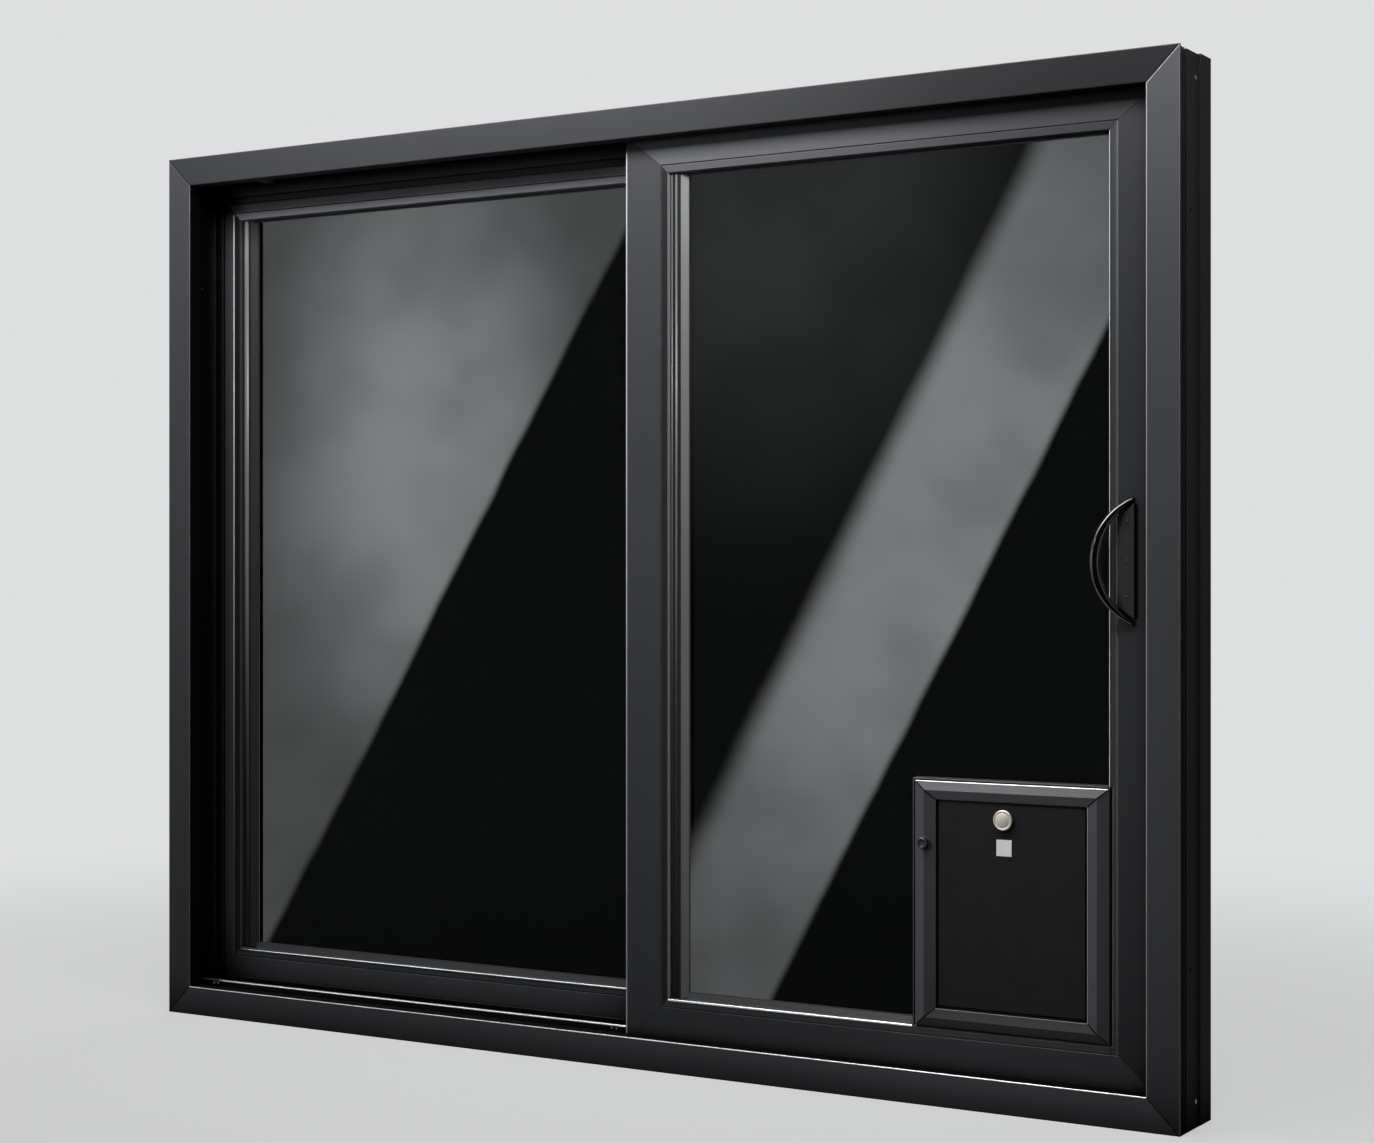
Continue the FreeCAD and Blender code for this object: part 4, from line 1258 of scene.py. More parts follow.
@dataclass
class OuterFrame:
    """Head, sill and jambs with their stops, keeper, corner screws and pile strips."""

    corner_screw_depth: float = 91 * MM
    corner_screw_inset: float = 49 * MM
    side_recess: float = 2.5 * MM
    pile: PileStrip = PileStrip()
    pile_inset: float = 5.0 * MM
    pile_gap: float = 5.0 * MM
    head_pile_rise: float = 24 * MM
    jamb_pile_rise: float = 21 * MM
    sill_pile_drop: float = 12 * MM
    keeper_screw_spacing: float = 96 * MM
    edge_inset: float = 1.6 * MM
    light_inset: float = 1.0 * MM
    mitre_light_drop: float = 2.4 * MM
    sill_line: Seam = Seam(2.4 * MM, 0.8 * MM, rounded=True)
    right_line: Seam = Seam(2.0 * MM, LINE_RISE)
    left_line: Seam = Seam(1.8 * MM, LINE_RISE)
    outer_line: Seam = Seam(1.6 * MM, LINE_RISE)
    mitre_joint: Seam = Seam(2.2 * MM)
    mitre_line: Seam = Seam(1.2 * MM)
    corner_screw: Screw = Screw(4.6 * MM, 1.6 * MM)
    keeper_screw: Screw = Screw(4.0 * MM, 1.2 * MM)
    rounding: Rounding = Rounding(1.5 * MM, 3)

    def build(self) -> None:
        """Dresses the nodes and adds the small pieces."""
        dress("frame_head", Finishes.HEAD, self.rounding)
        dress("frame_sill", Finishes.SILL, self.rounding)
        dress("frame_left_jamb", Finishes.LEFT_JAMB, self.rounding)
        dress("frame_right_jamb", Finishes.RIGHT_JAMB, self.rounding)
        dress_all(["fixed_head_stop", "fixed_side_stop", "fixed_sill_stop"],
                  Finishes.STOP, self.rounding)
        dress("lock_keeper", Finishes.KEEPER, Rounding(0.3 * MM))
        dress("travel_bumper", Finishes.RUBBER, Rounding(1.6 * MM, 3))
        self.corner_screws()
        self.keeper_screws()
        self.pile_strips()
        self.mitres()
        self.lit_edges()

    def lit_edges(self) -> None:
        """Painted highlight lines along the frame's front edges."""
        left, right = NodeBox.of("frame_left_jamb"), NodeBox.of("frame_right_jamb")
        face, width, inset = left.low.y, left.high.x - left.low.x, self.light_inset
        low, high = left.low.z + width, left.high.z - width
        inner_left, inner_right = left.high.x - inset, right.low.x + inset
        outer, top = right.high.x - inset, left.high.z - inset
        soft, line = Finishes.SOFT_LINE, self.outer_line
        lines = {
            "sill_lit_edge": (self.sill_line, Finishes.WHITE_LINE,
                              (left.high.x, low - inset), (right.low.x, low - inset)),
            "right_jamb_lit_edge": (self.right_line, Finishes.PAINTED_EDGE_HIGHLIGHT,
                                    (inner_right, low), (inner_right, high)),
            "left_jamb_lit_edge": (self.left_line, soft, (inner_left, low), (inner_left, high)),
            "outer_jamb_lit_edge": (line, soft, (outer, left.low.z + 2 * inset), (outer, top)),
            "head_lit_edge": (line, soft, (left.low.x + inset, top), (outer, top)),
        }
        for name, (seam, finish, start, end) in lines.items():
            seam.make(name, [on_face(face, start, end)], finish, Body.FRAME.value)

    def mitres(self) -> None:
        """Sealed mitres at the four front corners, with a painted highlight line beside the upper
        two.
        """
        jamb, head = NodeBox.of("frame_left_jamb"), NodeBox.of("frame_head")
        right = NodeBox.of("frame_right_jamb").high.x
        face, width, inset = jamb.low.y, jamb.high.x - jamb.low.x, self.edge_inset
        dark, light, soft = [], [], []
        for x, way in ((jamb.low.x, 1), (right, -1)):
            for z, rise in ((jamb.low.z, 1), (head.high.z, -1)):
                line = on_face(face, *((x + way * step, z + rise * step)
                                       for step in (inset, width - inset)))
                dark.append(line)
                if rise < 0:
                    lit = soft if way > 0 else light
                    lit.append([p - UP * self.mitre_light_drop for p in line])
        self.mitre_joint.make("corner_mitres", dark, Finishes.DARK_JOINT_AND_SHADOW, Body.FRAME.value)
        self.mitre_line.make("left_mitre_highlight", soft, Finishes.SOFT_LINE, Body.FRAME.value)
        self.mitre_line.make("corner_mitre_highlights", light, Finishes.LIT_LINE, Body.FRAME.value)

    def corner_screws(self) -> None:
        """Screws that join the frame's corners, driven in from both sides."""
        left, right = NodeBox.of("frame_left_jamb"), NodeBox.of("frame_right_jamb")
        y = left.low.y + self.corner_screw_depth
        places = []
        for x, direction in ((left.low.x + self.side_recess, -1),
                             (right.high.x - self.side_recess, 1)):
            for z in (left.low.z + self.corner_screw_inset, left.high.z - self.corner_screw_inset):
                places.append((Vector((x, y, z)), Vector((direction, 0, 0))))
        self.corner_screw.make("corner_screws", places, Finishes.SCREW, Body.FRAME.value)

    def keeper_screws(self) -> None:
        """Two screws through the keeper."""
        box = NodeBox.of("lock_keeper")
        half = self.keeper_screw_spacing / 2
        places = [(Vector((box.low.x, box.centre.y, box.centre.z + offset)), Vector((-1, 0, 0)))
                  for offset in (-half, half)]
        self.keeper_screw.make("keeper_screws", places, Finishes.SCREW, Body.FRAME.value)

    def pile_strips(self) -> None:
        """Pile on the rear of the front lips, close in front of the sliding panel."""
        head, sill = NodeBox.of("frame_head"), NodeBox.of("frame_sill")
        jamb, slider = NodeBox.of("frame_right_jamb"), NodeBox.of("sliding_right_stile")
        lip_back = slider.low.y - self.pile_gap
        left_edge = NodeBox.of("frame_left_jamb").high.x
        level = Vector((jamb.low.x - left_edge, 0, 0))
        upright = UP * (head.low.z + self.jamb_pile_rise - sill.high.z)
        runs = {
            "head_pile": (Vector((left_edge, lip_back, head.low.z + self.head_pile_rise)),
                          level, UP),
            "sill_pile": (Vector((left_edge, lip_back, sill.high.z - self.sill_pile_drop)),
                          level, UP),
            "right_jamb_pile": (Vector((jamb.low.x + self.pile_inset, lip_back, sill.high.z)),
                                upright, Vector((1, 0, 0))),
        }
        for name, (start, run, across) in runs.items():
            self.pile.make(name, start, run, across, Body.FRAME.value)


@dataclass
class SillTrack:
    """Track rail with its fixing screws."""

    clip_places: tuple[float, float] = (0.088, 1.214)
    clip_drop: float = 9.5 * MM
    clip_screw_gap: float = 12 * MM
    half_web: float = 3.0 * MM
    crown_drop: float = 3.6 * MM
    crown_inset: float = 4 * MM
    crown_line: Seam = Seam(6.0 * MM, 1.6 * MM, rounded=True)
    screw: Screw = Screw(2.6 * MM, 1.0 * MM)

    def build(self) -> None:
        """Dresses the rail, adds screws on the side of its web and lays a bright strip along its
        crown as a painted highlight.
        """
        dress("sill_track", Finishes.TRACK, Rounding(1.2 * MM, 3))
        track = NodeBox.of("sill_track")
        edge = NodeBox.of("frame_left_jamb").low.x
        web = track.centre.y - self.half_web
        places = []
        for place in self.clip_places:
            for step in (0.0, self.clip_screw_gap):
                seat = Vector((edge + place + step, web, track.high.z - self.clip_drop))
                places.append((seat, TOWARDS_ROOM))
        height = track.high.z - self.crown_drop
        crown = on_face(web, (track.low.x + self.crown_inset, height),
                        (track.high.x - self.crown_inset, height))
        self.crown_line.make("track_crown_highlight", [crown], Finishes.WHITE_LINE, Body.FRAME.value)
        self.screw.make("track_screws", places, Finishes.SCREW, Body.FRAME.value)


class PanelKind(Enum):
    """The two glazed panels."""

    FIXED = "fixed"
    SLIDING = "sliding"


@dataclass
class Panel:
    """One glazed panel: members, beads, trims, double glazing and its seals."""

    kind: PanelKind
    rounding: Rounding = Rounding(1.1 * MM, 3)
    bead_rounding: Rounding = Rounding(1.0 * MM, 3)
    ridge_rounding: Rounding = Rounding(2.2 * MM, 4)
    gasket_reach: float = 1.8 * MM
    gasket_rise: float = 1.6 * MM
    rib_rise: float = 1.3 * MM
    ridge_height: float = 15.6 * MM
    ridge_inset: float = 18.0 * MM
    rim_drop: float = 3.0 * MM
    groove_inset: float = 5.4 * MM
    bead_light_inset: float = 3.5 * MM
    bead_light_drop: float = 3.0 * MM
    stile_light_inset: float = 1.4 * MM
    stile_light_foot: float = 2.0 * MM
    stile_light_rise: float = 4.0 * MM
    trim_depth: float = 7.5 * MM
    trim_foot: float = 20.0 * MM
    stile_line_overrun: float = 18.0 * MM
    stile_line_span: Flat = (3.6 * MM, 0.8 * MM)
    stile_line_rise: float = 0.4 * MM
    fixed_ribs: tuple[Flat, ...] = ((25.0 * MM, 38.0 * MM),)
    sliding_ribs: tuple[Flat, ...] = ((21.5 * MM, 25.5 * MM), (31.0 * MM, 37.0 * MM))
    ridge_line: Seam = Seam(5.0 * MM, 1.5 * MM, rounded=True)
    stile_light: Seam = Seam(3.2 * MM, LINE_RISE)
    bead_light: Seam = Seam(1.6 * MM, LINE_RISE)
    bead_joint: Seam = Seam(2.0 * MM, LINE_RISE)
    rim_line: Seam = Seam(2.0 * MM, 0.15 * MM)

    @property
    def body(self) -> Body:
        """The body that this panel belongs to."""
        return Body.SLIDER if self.kind is PanelKind.SLIDING else Body.FRAME

    def node(self, part: str) -> str:
        """Name of this panel's node for a part."""
        return f"{self.kind.value}_{part}"

    def box(self, part: str) -> NodeBox:
        """Box of this panel's node for a part."""
        return NodeBox.of(self.node(part))

    def build(self) -> None:
        """Dresses the nodes and adds the seals and ribs."""
        fixed = self.kind is PanelKind.FIXED
        plain = Finishes.FIXED_PANEL if fixed else Finishes.PANEL
        dress_all([self.node("left_stile"), self.node("bottom_rail")], plain, self.rounding)
        dress(self.node("right_stile"), plain if fixed else Finishes.LOCK_STILE, self.rounding)
        top = Finishes.FIXED_TOP if fixed else Finishes.TOP_RAIL
        dress(self.node("top_rail"), top, self.rounding)
        dress(self.node("left_bead"), Finishes.FIXED_TRIM if fixed else Finishes.LEFT_TRIM,
              self.bead_rounding)
        dress(self.node("right_bead"), Finishes.RIGHT_BEAD, self.bead_rounding)
        dress(self.node("top_bead"), Finishes.FIXED_TOP_BEAD if fixed else Finishes.TOP_BEAD,
              self.bead_rounding)
        dress(self.node("bottom_bead"), Finishes.BEAD, self.ridge_rounding)
        dress_all([self.node("inner_pane"), self.node("outer_pane")], Finishes.GLASS)
        dress(self.node("spacer"), Finishes.SPACER)
        dress(self.node("interlock"), Finishes.INTERLOCK, Rounding(0.4 * MM))
        self.gaskets()
        self.trim_ribs()
        self.bead_lines()

    def bead_lines(self) -> None:
        """Painted highlight lines along the bottom ridge, the edges and the glass under the top
        bead, and the fine dark joints beside the beads.
        """
        top, right = self.box("top_bead"), self.box("right_bead")
        left, low = self.box("left_bead"), self.box("bottom_bead")
        face, body = top.low.y, self.body.value
        end = right.high.x if self.kind is PanelKind.FIXED else NodeBox.of("pet_base_frame").low.x
        height = low.low.z + self.ridge_height
        ridge = on_face(face, (left.low.x + self.ridge_inset, height), (end, height))
        self.ridge_line.make(self.node("bottom_ridge_highlight"), [ridge], Finishes.WHITE_LINE, body)
        dark = [on_face(face, (left.low.x, top.high.z), (right.high.x, top.high.z))]
        if self.kind is PanelKind.SLIDING:
            groove, edge = right.low.x + self.groove_inset, right.high.x - self.bead_light_inset
            dark.append(on_face(face, (groove, low.low.z), (groove, top.low.z)))
            lit = on_face(face, (edge, low.low.z), (edge, top.high.z - self.bead_light_drop))
            stile = self.box("left_stile")
            x = stile.low.x + self.stile_light_inset
            line = on_face(stile.low.y, (x, stile.low.z + self.stile_light_foot),
                           (x, NodeBox.of("frame_head").low.z + self.stile_light_rise))
            self.stile_light.make(self.node("lit_edge"), [line], Finishes.LIT_LINE, body)
            self.bead_light.make(self.node("bead_edge"), [lit], Finishes.SOFT_LINE, body)
        self.bead_joint.make(self.node("bead_joints"), dark, Finishes.DARK_JOINT_AND_SHADOW, body)
        height = top.low.z - self.rim_drop
        rim = on_face(self.box("inner_pane").low.y, (left.high.x, height), (right.low.x, height))
        self.rim_line.make(self.node("glass_rim_highlight"), [rim], Finishes.PAINTED_EDGE_HIGHLIGHT, body)

    def glass_path(self, corner_piece: str) -> list[Flat]:
        """Edge of the glass that shows, with the pet door's corner cut out of the slider.

        Args:
            corner_piece: The pet door's node that covers that corner.

        Returns:
            Its corners in x and z, anticlockwise seen from the room.
        """
        left, right = self.box("left_bead").high.x, self.box("right_bead").low.x
        top, bottom = self.box("top_bead").low.z, self.box("bottom_bead").high.z
        if self.kind is PanelKind.FIXED:
            return [(left, bottom), (right, bottom), (right, top), (left, top)]
        pet = NodeBox.of(corner_piece)
        return [(left, bottom), (pet.low.x, bottom), (pet.low.x, pet.high.z),
                (right, pet.high.z), (right, top), (left, top)]

    def gaskets(self) -> None:
        """Rubber wedge between the glass and what holds it, on both sides."""
        reach, rise = self.gasket_reach, self.gasket_rise
        shape = [(0.0, 0.0), (0.0, 1.0), (0.35, 1.12), (0.72, 0.72), (1.0, 0.0)]
        room, outdoors = self.box("inner_pane").low.y, self.box("outer_pane").high.y
        for name, corner_piece, face, way in (
                ("room_gasket", "pet_base_frame", room, -1.0),
                ("outdoor_gasket", "pet_outside_frame", outdoors, 1.0)):
            section = [(u * reach, way * v * rise) for u, v in shape]
            bm = loop_sweep(self.glass_path(corner_piece), section, face)
            finish_piece(self.node(name), bm, Finishes.RUBBER, self.body.value)

    def trim_ribs(self) -> None:
        """Fine ribs along the flat of the left trim in a lighter tone, as painted highlight, and a
        painted highlight line on the fixed stile's edge.
        """
        bead = self.box("left_bead")
        trim_face = bead.low.y + self.trim_depth
        low = self.box("bottom_bead").low.z + self.trim_foot
        high = self.box("top_bead").low.z
        fixed = self.kind is PanelKind.FIXED
        ribs = self.fixed_ribs if fixed else self.sliding_ribs
        finish = Finishes.FIXED_RIB if fixed else Finishes.TRIM_RIB
        for number, (start, end) in enumerate(ribs, 1):
            self.rib(f"trim_rib_{number}", (bead.low.x + start, bead.low.x + end), trim_face,
                     (low, high), self.rib_rise, finish)
        if fixed:
            over, (start, end) = self.stile_line_overrun, self.stile_line_span
            self.rib("stile_line", (bead.low.x - start, bead.low.x - end), bead.low.y,
                     (low - over, high + over), self.stile_line_rise, Finishes.LIT_LINE)

    def rib(self, part: str, span: Flat, face: float, reach: Flat, rise: float,
            finish: Finish) -> None:
        """One upright rib.

        Args:
            part: Its name within the panel.
            span: Its left and right sides in x.
            face: Place in y of the face that it stands on.
            reach: Its foot and top in z.
            rise: How far it stands out.
            finish: Its finish.
        """
        (start, end), (low, high), slope = span, reach, rise / 2
        corners = [Vector((x, face - y, low)) for x, y in (
            (start, 0.0), (start + slope, rise), (end - slope, rise), (end, 0.0))]
        bm = strip(corners, Vector((0, 0, high - low)))
        finish_piece(self.node(part), bm, finish, self.body.value)


@dataclass
class PullHandle:
    """Room-side pull: a flat plate and a slim crescent bow."""

    screw_heights: tuple[float, float, float] = (74 * MM, 0.0, -68 * MM)
    screw_inset: float = 15 * MM
    edge_half: float = 80 * MM
    edge_inset: float = 1.6 * MM
    painted_shadow_half: float = 106 * MM
    painted_shadow_gap: float = 2.0 * MM
    painted_edge_highlight: Seam = Seam(1.6 * MM, LINE_RISE)
    painted_shadow_line: Seam = Seam(6.0 * MM, 0.3 * MM)
    screw: Screw = Screw(3.8 * MM, 1.3 * MM)
    side_reach: float = 68.0 * MM
    front_reach: float = 45.0 * MM
    foot_inset: float = 6.0 * MM
    bow_thickness: float = 18.0 * MM
    bow_width: float = 16.0 * MM
    tip_thickness: float = 7.0 * MM
    tip_width: float = 13.0 * MM
    taper: float = 2.2
    steps: int = 72
    section_points: int = 28
    corner: float = 0.62

    def build(self) -> None:
        """Makes the plate, its screws and the bow."""
        self.plate()
        self.bow()

    def plate(self) -> None:
        """Plate with softened edges, three screws, a painted highlight line along its left edge and
        a painted shadow strip beside its right edge.
        """
        dress("handle_plate", Finishes.HANDLE, Rounding(1.4 * MM, 3))
        box = NodeBox.of("handle_plate")
        places = [(Vector((box.high.x - self.screw_inset, box.low.y, box.centre.z + z)),
                   TOWARDS_ROOM) for z in self.screw_heights]
        body = Body.SLIDER.value
        self.screw.make("pull_screws", places, Finishes.DARK_SCREW, body)
        # A light line along the plate's left edge, as a painted highlight.
        x, middle, half = box.low.x + self.edge_inset, box.centre.z, self.edge_half
        edge = on_face(box.low.y, (x, middle - half), (x, middle + half))
        self.painted_edge_highlight.make("pull_plate_edge_highlight", [edge], Finishes.SOFT_LINE, body)
        # A dark strip beside the plate's right edge, as a painted shadow.
        x, half = box.high.x + self.painted_shadow_gap, self.painted_shadow_half
        painted_shadow = on_face(box.high.y, (x, middle - half), (x, middle + half))
        self.painted_shadow_line.make("pull_plate_painted_shadow", [painted_shadow], Finishes.DARK_JOINT_AND_SHADOW, body)

    def bow(self) -> None:
        """Crescent that leans over the glass, thickest in its middle."""
        box = NodeBox.of("handle_bow")
        plate = NodeBox.of("handle_plate")
        foot = Vector((plate.high.x - self.foot_inset, plate.high.y, box.centre.z))
        half = (box.high.z - box.low.z) / 2
        side, front = self.side_reach, self.front_reach
        reach = math.hypot(side, front)
        out = Vector((-side / reach, -front / reach, 0))
        across = out.cross(UP)
        radius = (half ** 2 + reach ** 2) / (2 * reach)
        widest = math.asin(half / radius)
        bm = bmesh.new()
        rings = []
        for i in range(self.steps + 1):
            share = 2 * i / self.steps - 1
            angle = widest * share
            spine = UP * (radius * math.sin(angle))
            spine += out * (radius * math.cos(angle) - radius + reach)
            radial = out * math.cos(angle) + UP * math.sin(angle)
            fullness = 1 - abs(share) ** self.taper
            thick = self.tip_thickness + (self.bow_thickness - self.tip_thickness) * fullness
            wide = self.tip_width + (self.bow_width - self.tip_width) * fullness
            rings.append([bm.verts.new(point) for point in self.section(
                foot + spine, radial, across, thick, wide)])
        bridge(bm, rings)
        bm.faces.new(rings[0])
        bm.faces.new(rings[-1])
        for v in bm.verts:
            v.co.y = min(v.co.y, foot.y - 0.05 * MM)
        piece = finish_piece("pull_bow", bm, Finishes.BOW, Body.SLIDER.value)
        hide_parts("handle_bow")

    def section(self, outer: Vector, radial: Vector, across: Vector, thick: float,
                wide: float) -> list[Vector]:
        """Points round the bow's section, flat-sided with soft corners.

        Args:
            outer: The section's outermost point.
            radial: Direction out from the bow's centre.
            across: Direction across the bow.
            thick: Its thickness.
            wide: Its width.

        Returns:
            The points, in order.
        """
        points = []
        for i in range(self.section_points):
            angle = math.tau * i / self.section_points
            c, s = math.cos(angle), math.sin(angle)
            a = math.copysign(abs(c) ** self.corner, c) * thick / 2
            b = math.copysign(abs(s) ** (self.corner + 0.25), s) * wide / 2
            points.append(outer + radial * (a - thick / 2) + across * b)
        return points


@dataclass
class OutdoorSide:
    """Fittings that only show from outdoors or from below."""

    pull_rounding: Rounding = Rounding(1.4 * MM, 3)

    def build(self) -> None:
        """Dresses the outdoor pull and the rollers."""
        dress("outside_pull", Finishes.HANDLE, self.pull_rounding)
        dress("rollers", Finishes.ROLLER)


@dataclass
class PetDoor:
    """Pet door set in the glass: moulding, mitred members, flap and outdoor ring."""

    light_inset: float = 1.1 * MM
    light_depth: float = 0.84
    flap_inset: float = 9 * MM
    flap_bar_rise: float = 3.0 * MM
    flap_bar_end: float = 10 * MM
    flap_bar_bevel: float = 2 * MM
    rim_pin_inset: float = 50 * MM
    rim_pin_radius: float = 1.7 * MM
    ring_screw_inset: float = 20 * MM
    magnet_height: float = 16 * MM
    crease_rise: float = 8 * MM
    side_width: float = 44.5 * MM
    mitre_joint: Seam = Seam(1.6 * MM, 0.3 * MM)
    bright_line: Seam = Seam(1.5 * MM, 0.5 * MM, rounded=True)
    light_line: Seam = Seam(1.5 * MM, 0.15 * MM)
    ring_screw: Screw = Screw(3.6 * MM, 1.3 * MM)

    def build(self) -> None:
        """Dresses the nodes and adds the rim pin, the flap's details and the ring's screws."""
        dress("pet_base_frame", Finishes.PET_FRAME, Rounding(0.5 * MM))
        dress("pet_outside_frame", Finishes.PET_FRAME, Rounding(1.0 * MM, 3))
        members = Rounding(1.3 * MM, 3, math.radians(30))
        dress_all([f"pet_frame_{side}" for side in ("left", "right", "top")],
                  Finishes.PET_FRAME, members)
        dress("pet_frame_bottom", Finishes.PET_FOOT, members)
        dress("pet_flap", Finishes.FLAP, Rounding(0.8 * MM))
        self.mitres()
        self.rim_pin()
        self.flap_details()
        self.ring_screws()

    def mitres(self) -> None:
        """Dark mitres where the four members meet, over their creased faces."""
        left, right = NodeBox.of("pet_frame_left"), NodeBox.of("pet_frame_right")
        top, bottom = NodeBox.of("pet_frame_top"), NodeBox.of("pet_frame_bottom")
        crease = left.low.y
        lines = []
        for x, run in ((left.low.x, left.high.x - left.low.x),
                       (right.high.x, right.low.x - right.high.x)):
            for z, rise in ((bottom.low.z, bottom.high.z - bottom.low.z),
                            (top.high.z, top.low.z - top.high.z)):
                lines.append([
                    Vector((x + run * share, crease + self.crease_rise * back, z + rise * share))
                    for share, back in ((0.02, 0.96), (0.5, 0.0), (0.98, 0.96))])
        self.mitre_joint.make("pet_frame_mitres", lines, Finishes.DARK_JOINT_AND_SHADOW, Body.SLIDER.value)
        self.lit_edges(top, right, bottom)

    def lit_edges(self, top: NodeBox, right: NodeBox, bottom: NodeBox) -> None:
        """Painted highlight lines along the members' edges and the rim's right side.

        Args:
            top: Box of the top member.
            right: Box of the right member.
            bottom: Box of the bottom member.
        """
        base, inset = NodeBox.of("pet_base_frame"), self.light_inset
        slope = right.low.y + self.crease_rise * self.light_depth
        inner, rim = right.low.x + inset, base.high.x - inset
        crest, foot = top.high.z - inset, bottom.high.z - inset
        crest_line = on_face(slope, (top.low.x + 2 * inset, crest),
                             (top.high.x - 2 * inset, crest))
        self.bright_line.make(
            "pet_top_lit_edge", [crest_line], Finishes.WHITE_LINE, Body.SLIDER.value)
        lines = {
            "pet_right_lit_edge": (slope, (inner, bottom.high.z), (inner, top.low.z)),
            "pet_foot_lit_edge": (slope, (top.low.x + self.side_width, foot), (inner, foot)),
            "pet_rim_lit_edge": (base.low.y - 0.3 * MM, (rim, base.low.z + inset),
                                 (rim, base.high.z - inset)),
        }
        for name, (face, start, end) in lines.items():
            self.light_line.make(
                name, [on_face(face, start, end)], Finishes.PAINTED_EDGE_HIGHLIGHT, Body.SLIDER.value)

    def rim_pin(self) -> None:
        """Small bright pin on top of the rim, near its left corner."""
        base = NodeBox.of("pet_base_frame")
        r = self.rim_pin_radius
        place = Vector((base.low.x + self.rim_pin_inset, base.low.y + 2.2 * MM, base.high.z))
        profile = [(0.0, 0.0), (r, 0.0), (r, r * 0.7), *arc_points((0.0, r * 0.7), r, 0, 90, 6)[1:]]
        bm = turned(profile, 20)
        finish_piece("rim_pin", bm, Finishes.SCREW, Body.SLIDER.value, facing(UP, place))

    def flap_details(self) -> None:
        """Hinge bead at the flap's top and magnet bar at its foot, on the outdoor side."""
        flap = NodeBox.of("pet_flap")
        inset, rise, end = self.flap_inset, self.flap_bar_rise, self.flap_bar_end
        bevel = self.flap_bar_bevel
        for name, low in (("flap_magnet_bar", flap.low.z + end),
                          ("flap_hinge_bead", flap.high.z - end - self.magnet_height)):
            high = low + self.magnet_height
            section = [Vector((flap.low.x + inset, flap.high.y + y, z)) for y, z in (
                (0.0, low), (rise, low + bevel), (rise, high - bevel), (0.0, high))]
            bm = strip(section, Vector((flap.high.x - flap.low.x - 2 * inset, 0, 0)))
            piece = finish_piece(name, bm, Finishes.RUBBER, Body.SLIDER.value)
            Rounding(0.6 * MM).apply(piece)

    def ring_screws(self) -> None:
        """Screws round the outdoor ring."""
        ring = NodeBox.of("pet_outside_frame")
        inset = self.ring_screw_inset
        xs = (ring.low.x + inset, ring.centre.x, ring.high.x - inset / 2)
        zs = (ring.low.z + inset / 2, ring.centre.z, ring.high.z - inset)
        places = [(Vector((x, ring.high.y, z)), TOWARDS_OUTDOORS)
                  for x in xs for z in zs if not (x == xs[1] and z == zs[1])]
        self.ring_screw.make("ring_screws", places, Finishes.DARK_SCREW, Body.SLIDER.value)


@dataclass
class PetCover:
    """Lift-off cover with its turned knob, blank plate and sprung lock pin."""

    knob_rounding: float = 2.3 * MM
    knob_neck: float = 4.0 * MM
    knob_dome: float = 0.8 * MM
    knob_ledge: float = 1.4 * MM
    knob_ledge_drop: float = 0.35 * MM
    knob_lip: float = 1.0 * MM
    knob_waist: tuple[Flat, ...] = ((9.4 * MM, 0.0), (8.2 * MM, 1.0 * MM), (7.8 * MM, 2.4 * MM))
    knob_shoulder: float = 9.6 * MM
    pin_stem_radius: float = 3.5 * MM
    pin_knob_length: float = 8.0 * MM
    pin_rounding: float = 2.2 * MM
    pin_chamfer: float = 0.6 * MM

    def build(self) -> None:
        """Dresses the cover and turns the knob and the pin."""
        dress("pet_cover", Finishes.BOARD, Rounding(0.5 * MM))
        dress("cover_blank_plate", Finishes.PLATE, Rounding(0.5 * MM, 3))
        self.knob()
        self.lock_pin()

    def knob(self) -> None:
        """Low knob with a waisted neck, a rounded rim and a shallow dome inside it."""
        box = NodeBox.of("cover_knob")
        radius = (box.high.x - box.low.x) / 2
        length = box.high.y - box.low.y
        under, soft, rim = self.knob_neck, self.knob_rounding, length - self.knob_dome
        profile = [(0.0, 0.0), *self.knob_waist, (self.knob_shoulder, under)]
        lip, drop = self.knob_lip, self.knob_ledge_drop
        profile += arc_points((radius - lip, under + lip), lip, -90, 0, 4)
        profile += arc_points((radius - soft, rim - soft), soft, 0, 90, 8)
        ledge = radius - soft - self.knob_ledge
        profile += [(ledge + 0.4 * MM, rim - 0.05 * MM), (ledge, rim - drop)]
        for i in range(1, 11):
            share = 1 - i / 10
            lift = (self.knob_dome + drop) * (1 - share ** 2)
            profile.append((ledge * share, rim - drop + lift))
        bm = turned(profile, 96)
        place = Vector((box.centre.x, box.high.y, box.centre.z))
        piece = finish_piece(
            "pull_knob", bm, Finishes.NICKEL, Body.COVER.value, facing(TOWARDS_ROOM, place))
        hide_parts("cover_knob")

    def lock_pin(self) -> None:
        """Thumb knob with a rounded rim, a hollowed face and a thin stem."""
        box = NodeBox.of("cover_lock_pin")
        radius = (box.high.x - box.low.x) / 2
        length = box.high.y - box.low.y
        stem, soft, chamfer = self.pin_stem_radius, self.pin_rounding, self.pin_chamfer
        seat = length - self.pin_knob_length
        profile = [(0.0, 0.0), (stem, 0.0), (stem, seat), (radius - chamfer, seat),
                   (radius, seat + chamfer)]
        profile += arc_points((radius - soft, length - soft), soft, 0, 90, 8)
        inner = radius - soft - 1.2 * MM
        profile += [(inner, length - 0.5 * MM), (inner * 0.6, length - 1.2 * MM),
                    (0.0, length - 1.5 * MM)]
        bm = turned(profile, 64)
        place = Vector((box.centre.x, box.high.y, box.centre.z))
        piece = finish_piece(
            "thumb_pin", bm, Finishes.PIN, Body.PIN.value, facing(TOWARDS_ROOM, place))
        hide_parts("cover_lock_pin")


# Camera, light and floor

